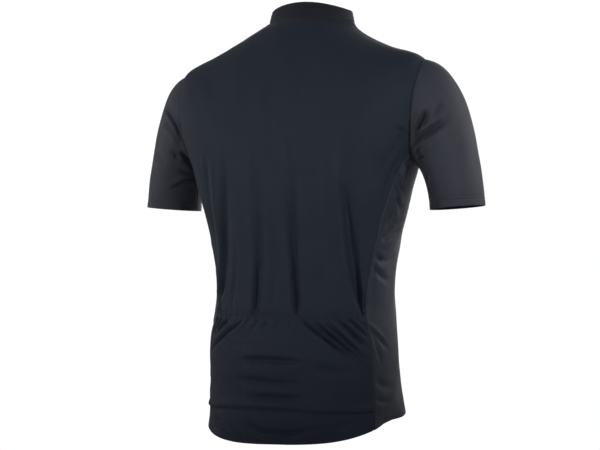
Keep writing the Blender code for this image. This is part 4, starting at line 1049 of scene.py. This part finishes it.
def build_collar():
    """The stand-up collar, a padded double band, open at the zip."""
    across = shares_along(COLLAR_HALF_LENGTH, COLLAR_STEP, seam_marks(COLLAR_HALF_LENGTH))
    marks = [(0, COLLAR_RIM_STEP), (COLLAR_HEIGHT, COLLAR_RIM_STEP), *seam_marks(COLLAR_HEIGHT - COLLAR_TURN)]
    up = shares_along(COLLAR_HEIGHT, COLLAR_ROW_STEP, marks)
    angle, rise = np.broadcast_arrays(mirrored(across * zip_edge_angle(0.0, ZIP_EDGE)), up[:, None])
    points = collar_surface(angle, rise)
    points[:, 0, 0], points[:, -1, 0] = -ZIP_EDGE, ZIP_EDGE
    pressed = COLLAR_SHARE * sewn_press(points, top=1.0)
    pressed += stitch_press(run_from(points, "bottom"), (COLLAR_TURN,))
    pressed -= COLLAR_PADDING * np.sin(math.pi * rise)
    points, normals = press_in(points, points - points.mean(axis=(0, 1)), pressed)
    lay_shell("collar_cloth", points, normals, COLLAR_CLOTH, ("top",))
    return points


def between_dividers(shares):
    """How free the pocket cloth is across its width: 0 at its sewn lines and 1 midway between them."""
    stops = (-1.0, *POCKET_DIVIDERS, 1.0)
    free = np.zeros(len(shares))
    for start, end in zip(stops[:-1], stops[1:]):
        inside = (shares >= start) & (shares <= end)
        free[inside] = np.sin(math.pi * ((shares[inside] - start) / (end - start)))
    return free


def build_pocket():
    """The pocket cloth, which pouches over its foot seam."""
    width = POCKET_HALF_WIDTH
    sewn = seam_marks(0, 2 * width, *((1 + divider) * width for divider in POCKET_DIVIDERS))
    shares = 2 * shares_along(2 * width, POCKET_STEP, sewn) - 1
    down = shares_along(POCKET_HEIGHT, POCKET_STEP, seam_marks(0, POCKET_HEIGHT))[:, None]
    ring = POCKET_TOP_RING + (pocket_foot_at(shares)[..., 0] - POCKET_TOP_RING) * down
    angle = side_seams_at(ring)[..., 0] * shares
    points = torso(angle, ring)
    free = between_dividers(shares)
    from_foot = run_from(points, "bottom")
    lift = POCKET_LIFT * np.sin(math.pi * down) * free
    pouch = bell(from_foot - POUCH_AT, POUCH, POUCH_LENGTH) * smooth(from_foot / POUCH_START)
    pouch *= POUCH_AT_SEAMS + (1 - POUCH_AT_SEAMS) * free
    stand = POCKET_GAP + CLOTH + lift + pouch
    for divider in POCKET_DIVIDERS:
        stand -= bell((shares - divider) * width, DIVIDER_GROOVE, DIVIDER_WIDTH)
    for edge in ("left", "right"):
        stand -= bell(run_from(points, edge), POCKET_SIDE_GROOVE, POCKET_SIDE_WIDTH)
    stand -= bell(from_foot, POCKET_HEM_GROOVE, POCKET_HEM_WIDTH)
    points = points + stand[..., None] * torso_form_normals(angle, ring)
    lay_shell("pocket_cloth", points, facing_out(points, BACKWARDS), POCKET_CLOTH)
    return points


def build_band():
    """The ribbed elastic along the pocket mouths."""
    shares = 2 * shares_along(2 * POCKET_HALF_WIDTH, BAND_STEP) - 1
    down = shares_along(BAND_HEIGHT, BAND_ROW_STEP)[:, None]
    rings = POCKET_MOUTH_RING + (POCKET_TOP_RING - POCKET_MOUTH_RING) * down
    ring, share = np.broadcast_arrays(rings, shares)
    angle = side_seams_at(ring)[..., 0] * share
    ribs = RIB * wave(share * POCKET_HALF_WIDTH, RIB_PITCH)
    stand = POCKET_GAP + BAND_CLOTH + BAND_BELLY * np.sin(math.pi * down) + ribs
    points = torso(angle, ring) + stand[..., None] * torso_form_normals(angle, ring)
    lay_shell("band_cloth", points, facing_out(points, BACKWARDS), BAND_CLOTH)


def zip_line(distance, step):
    """Points and outward normals down the front from collar to hem, this far from its centre line."""
    rings = np.linspace(0, HEM_RING, 6 * EDGE_SAMPLES)
    up = np.linspace(1, 0, EDGE_SAMPLES)[:-1]
    collar = collar_surface(zip_edge_angle(0.0, distance), up)
    points = np.concatenate([collar, torso(zip_edge_angle(rings, distance), rings)])
    points[:, 0] = distance
    run = line_length(points)
    at = np.linspace(0, run[-1], math.ceil(run[-1] / step))
    points = np.stack([np.interp(at, run, column) for column in points.T], -1)
    along = np.gradient(points, axis=0)
    return points, unit(np.stack([np.zeros(len(at)), along[:, 2], -along[:, 1]], -1))


def build_tape(name, side):
    """One of the zip's woven tapes, behind its front."""
    across = np.linspace(TAPE_GAP / 2, TAPE_HALF_WIDTH, TAPE_LINES)
    lines = [np.stack(zip_line(distance, TAPE_ROW_STEP)) for distance in across]
    count = min(line.shape[1] for line in lines)
    even = [line[:, np.linspace(0, line.shape[1] - 1, count).round().astype(int)] for line in lines]
    grid, normals = np.stack(even, axis=2)
    lay_shell(name, (grid - normals * TAPE_BEHIND) * (side, 1, 1), normals, TAPE_CLOTH)


def bead_row_tree():
    """A tree that lays small rounded beads along a line: stitches with it, or coil turns across it."""
    group = bpy.data.node_groups.new("bead_row", "GeometryNodeTree")
    tree = Tree(group)
    group.interface.new_socket("Geometry", in_out="OUTPUT", socket_type="NodeSocketGeometry")
    for name, kind in BEAD_INPUTS.items():
        group.interface.new_socket(name, in_out="INPUT", socket_type="NodeSocket" + kind)
    start = tree.add("NodeGroupInput")
    sizes = start.outputs
    points = tree.add("GeometryNodeCurveToPoints", {"Length": sizes["Pitch"]}, mode="LENGTH")
    round_bead = {"Segments": BEAD_SEGMENTS, "Rings": BEAD_RINGS, "Radius": 0.5}
    bead = tree.add("GeometryNodeMeshUVSphere", round_bead)
    ways = {"Switch": sizes["Across"], "False": points.outputs["Tangent"], "True": (1.0, 0.0, 0.0)}
    way = tree.add("GeometryNodeSwitch", ways, input_type="VECTOR")
    turn = tree.add("FunctionNodeAlignRotationToVector", {"Vector": way.outputs[0]}, axis="X")
    thickness = {0: sizes["Length"], 1: sizes["Thickness"], 2: sizes["Thickness"]}
    size = tree.add("ShaderNodeCombineXYZ", thickness)
    laid = {"Instance": bead.outputs["Mesh"], "Rotation": turn.outputs[0], "Scale": size.outputs[0]}
    tree.chain(
        start,
        tree.add("GeometryNodeMeshToCurve"),
        points,
        tree.add("GeometryNodeInstanceOnPoints", laid),
        tree.add("GeometryNodeRealizeInstances"),
        tree.add("GeometryNodeSetShadeSmooth"),
        tree.add("GeometryNodeSetMaterial", {"Material": sizes["Material"]}),
        tree.add("NodeGroupOutput"),
    )
    return group


def lay_beads(name, lines, tree, material, sizes):
    """One mesh with beads along all of these lines, which rides with the cloth."""
    points = np.concatenate(lines)
    edges, start = [], 0
    for line in lines:
        edges += [(start + i, start + i + 1) for i in range(len(line) - 1)]
        start += len(line)
    mesh = bpy.data.meshes.new(name + "_lines")
    mesh.from_pydata(points.tolist(), edges, [])
    guide = place_object(name + "_lines", mesh)
    modifier = guide.modifiers.new("beads", "NODES")
    modifier.node_group = tree
    inputs = {"Material": material, **sizes}
    for item in tree.interface.items_tree:
        if item.in_out == "INPUT" and item.name in inputs:
            modifier[item.identifier] = inputs[item.name]
    bpy.context.view_layer.update()
    ready = guide.evaluated_get(bpy.context.evaluated_depsgraph_get())
    result = bpy.data.meshes.new_from_object(ready)
    bpy.data.objects.remove(guide)
    result.name = name
    if not result.materials:
        result.materials.append(material)
    piece = place_object(name, result)
    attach(piece, BODY)


def line_along(grid, edge, distance):
    """A line on the cloth, this far from one of its edges."""
    run = run_from(grid, edge)
    if edge in ("left", "right"):
        grid, run = grid.transpose(1, 0, 2), run.T
    if edge in ("bottom", "right"):
        grid, run = grid[::-1], run[::-1]
    columns = zip(run.T, grid.transpose(1, 2, 0))
    return np.array([[np.interp(distance, far, values) for values in column] for far, column in columns])


def raised(line, outwards):
    """The line moved out by about half a thread."""
    return line + unit(outwards) * THREAD_LIFT


def build_sewing(grids):
    """Stitches along hems, cuffs, collar, pockets and zip, and the coil of the zip."""
    hems = []
    for name in ("back", "front_left", "front_right", "side_left", "side_right"):
        lines = [line_along(grids[name], "bottom", row) for row in hem_rows(HEM_TURN)]
        hems += [raised(line, (line - HEM_MIDDLE) * LEVEL) for line in lines]
    stitches = {"hem_stitches": hems}
    for name, side, _ in SIDES:
        lines = [line_along(grids["sleeve_" + name], "bottom", row) for row in hem_rows(CUFF_TURN)]
        stitches[f"cuff_{name}_stitches"] = [raised(line, (line - line.mean(0)) * LEVEL) for line in lines]
        line = line_along(grids["front_" + name], "right", ZIP_TURN)
        stitches[f"zip_{name}_stitches"] = [raised(line, np.multiply(ZIP_OUTWARDS, (side, 1, 1)))]
    top = line_along(grids["collar"], "bottom", COLLAR_TURN)
    foot = line_along(grids["back"], "top", NECK_ROW)
    stitches["collar_stitches"] = [raised(top, (top - top.mean(0)) * (1, 1, 0.2)), raised(foot, foot)]
    pocket = grids["pocket"]
    across = run_from(pocket, "left")[0]
    shares = across / across[-1] * 2 - 1
    rows = [pocket[:, np.abs(shares - divider).argmin()] for divider in POCKET_DIVIDERS]
    rows.append(line_along(pocket, "bottom", POCKET_ROW))
    stitches["pocket_stitches"] = [raised(row, BACKWARDS) for row in rows]
    tree, thread, coil = bead_row_tree(), hard_finish("thread"), hard_finish("coil")
    for name, lines in stitches.items():
        lay_beads(name, lines, tree, thread, THREAD)
    for name, side, _ in SIDES:
        line, normals = zip_line(COIL_AT, COIL_STEP)
        line = (line - normals * COIL_BEHIND) * (side, 1, 1)
        if side > 0:
            line = line[1:] + (0, 0, TEETH["Pitch"] / 2)
        lay_beads(f"coil_{name}", [line], tree, coil, TEETH)


def build_hardware(name, node, body, material, edge):
    """A copy of a hard solid with its edges rounded."""
    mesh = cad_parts[node].data.copy()
    mesh.name = name
    piece = place_object(name, mesh)
    bm = bmesh.new()
    bm.from_mesh(mesh)
    bmesh.ops.remove_doubles(bm, verts=bm.verts, dist=SAME_POINT)
    bmesh.ops.dissolve_limit(bm, angle_limit=FLAT_ANGLE, verts=bm.verts, edges=bm.edges)
    bm.to_mesh(mesh)
    bm.free()
    mesh.materials.clear()
    mesh.materials.append(material)
    bevel = piece.modifiers.new("edges", "BEVEL")
    bevel.width, bevel.segments, bevel.limit_method = edge, BEVEL_SEGMENTS, "ANGLE"
    bevel.angle_limit = BEVEL_ANGLE
    mesh.shade_smooth()
    mesh.set_sharp_from_angle(angle=SHARP_ANGLE)
    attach(piece, body)
    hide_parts(node)


def build_all():
    grids = {"back": build_back(), "pocket": build_pocket()}
    build_band()
    grids["collar"] = build_collar()
    for name, side, folds in SIDES:
        grids["front_" + name] = build_front(f"front_{name}_cloth", side)
        grids["side_" + name] = build_side(f"side_{name}_cloth", side)
        grids["sleeve_" + name] = build_sleeve(f"sleeve_{name}_cloth", Sleeve(side, folds))
        build_tape(f"tape_{name}", side)
    build_sewing(grids)
    metal = hard_finish("dark_metal")
    build_hardware("slider", "zip_slider", BODY, metal, SLIDER_EDGE)
    build_hardware("pull_tab", "zip_pull", PULL_BODY, metal, PULL_EDGE)


def look_along(item, direction):
    """Turns a camera or light this way."""
    item.rotation_euler = direction.to_track_quat("-Z", "Y").to_euler()


def set_stage():
    """The camera, the lights, a white backdrop and a pale floor that only the camera sees."""
    right = Vector((math.cos(CAMERA_TURN), math.sin(CAMERA_TURN), 0))
    towards = Vector((math.sin(CAMERA_TURN), -math.cos(CAMERA_TURN), 0))
    aim = right * CAMERA_SHIFT + Vector((0, 0, CAMERA_HEIGHT))
    camera = place_object("camera", bpy.data.cameras.new("camera"))
    camera.data.lens, camera.data.sensor_width = LENS, SENSOR
    camera.location = aim + towards * CAMERA_DISTANCE
    look_along(camera, -towards)
    bpy.context.scene.camera = camera

    for name, across, forward, up, width, height, spread, watts in LIGHTS:
        data = bpy.data.lights.new(name, "AREA")
        data.shape, data.size, data.size_y, data.energy = "RECTANGLE", width, height, watts
        data.spread = math.radians(spread)
        light = place_object(name, data)
        offset = right * across + towards * forward + Vector((0, 0, up))
        light.location = aim + offset + Vector((0, 0, LIGHT_AIM))
        look_along(light, -offset)

    world = bpy.data.worlds.new("studio")
    bpy.context.scene.world = world
    world.use_nodes = True
    tree = Tree(world.node_tree)
    seen = tree.add("ShaderNodeLightPath").outputs["Is Camera Ray"]
    strength = tree.total(SOFT_LIGHT, (seen, BACKDROP - SOFT_LIGHT))
    tree.feed(world.node_tree.nodes["Background"], {"Color": WHITE, "Strength": strength})

    mesh = bpy.data.meshes.new("floor")
    corners = [(x * FLOOR_HALF, y * FLOOR_HALF, FLOOR) for x, y in ((-1, -1), (1, -1), (1, 1), (-1, 1))]
    mesh.from_pydata(corners, [], [(0, 1, 2, 3)])
    floor = place_object("floor", mesh)
    material, tree, shader = new_material("studio_floor")
    looks = {"Base Color": (FLOOR_SHADE, FLOOR_SHADE, FLOOR_SHADE, 1.0), "Roughness": FLOOR_ROUGHNESS}
    tree.feed(shader, {**looks, "Emission Color": WHITE, "Emission Strength": FLOOR_GLOW})
    mesh.materials.append(material)
    floor.visible_diffuse = floor.visible_glossy = False
    bpy.context.scene.view_settings.view_transform = "Standard"


build_all()
set_stage()
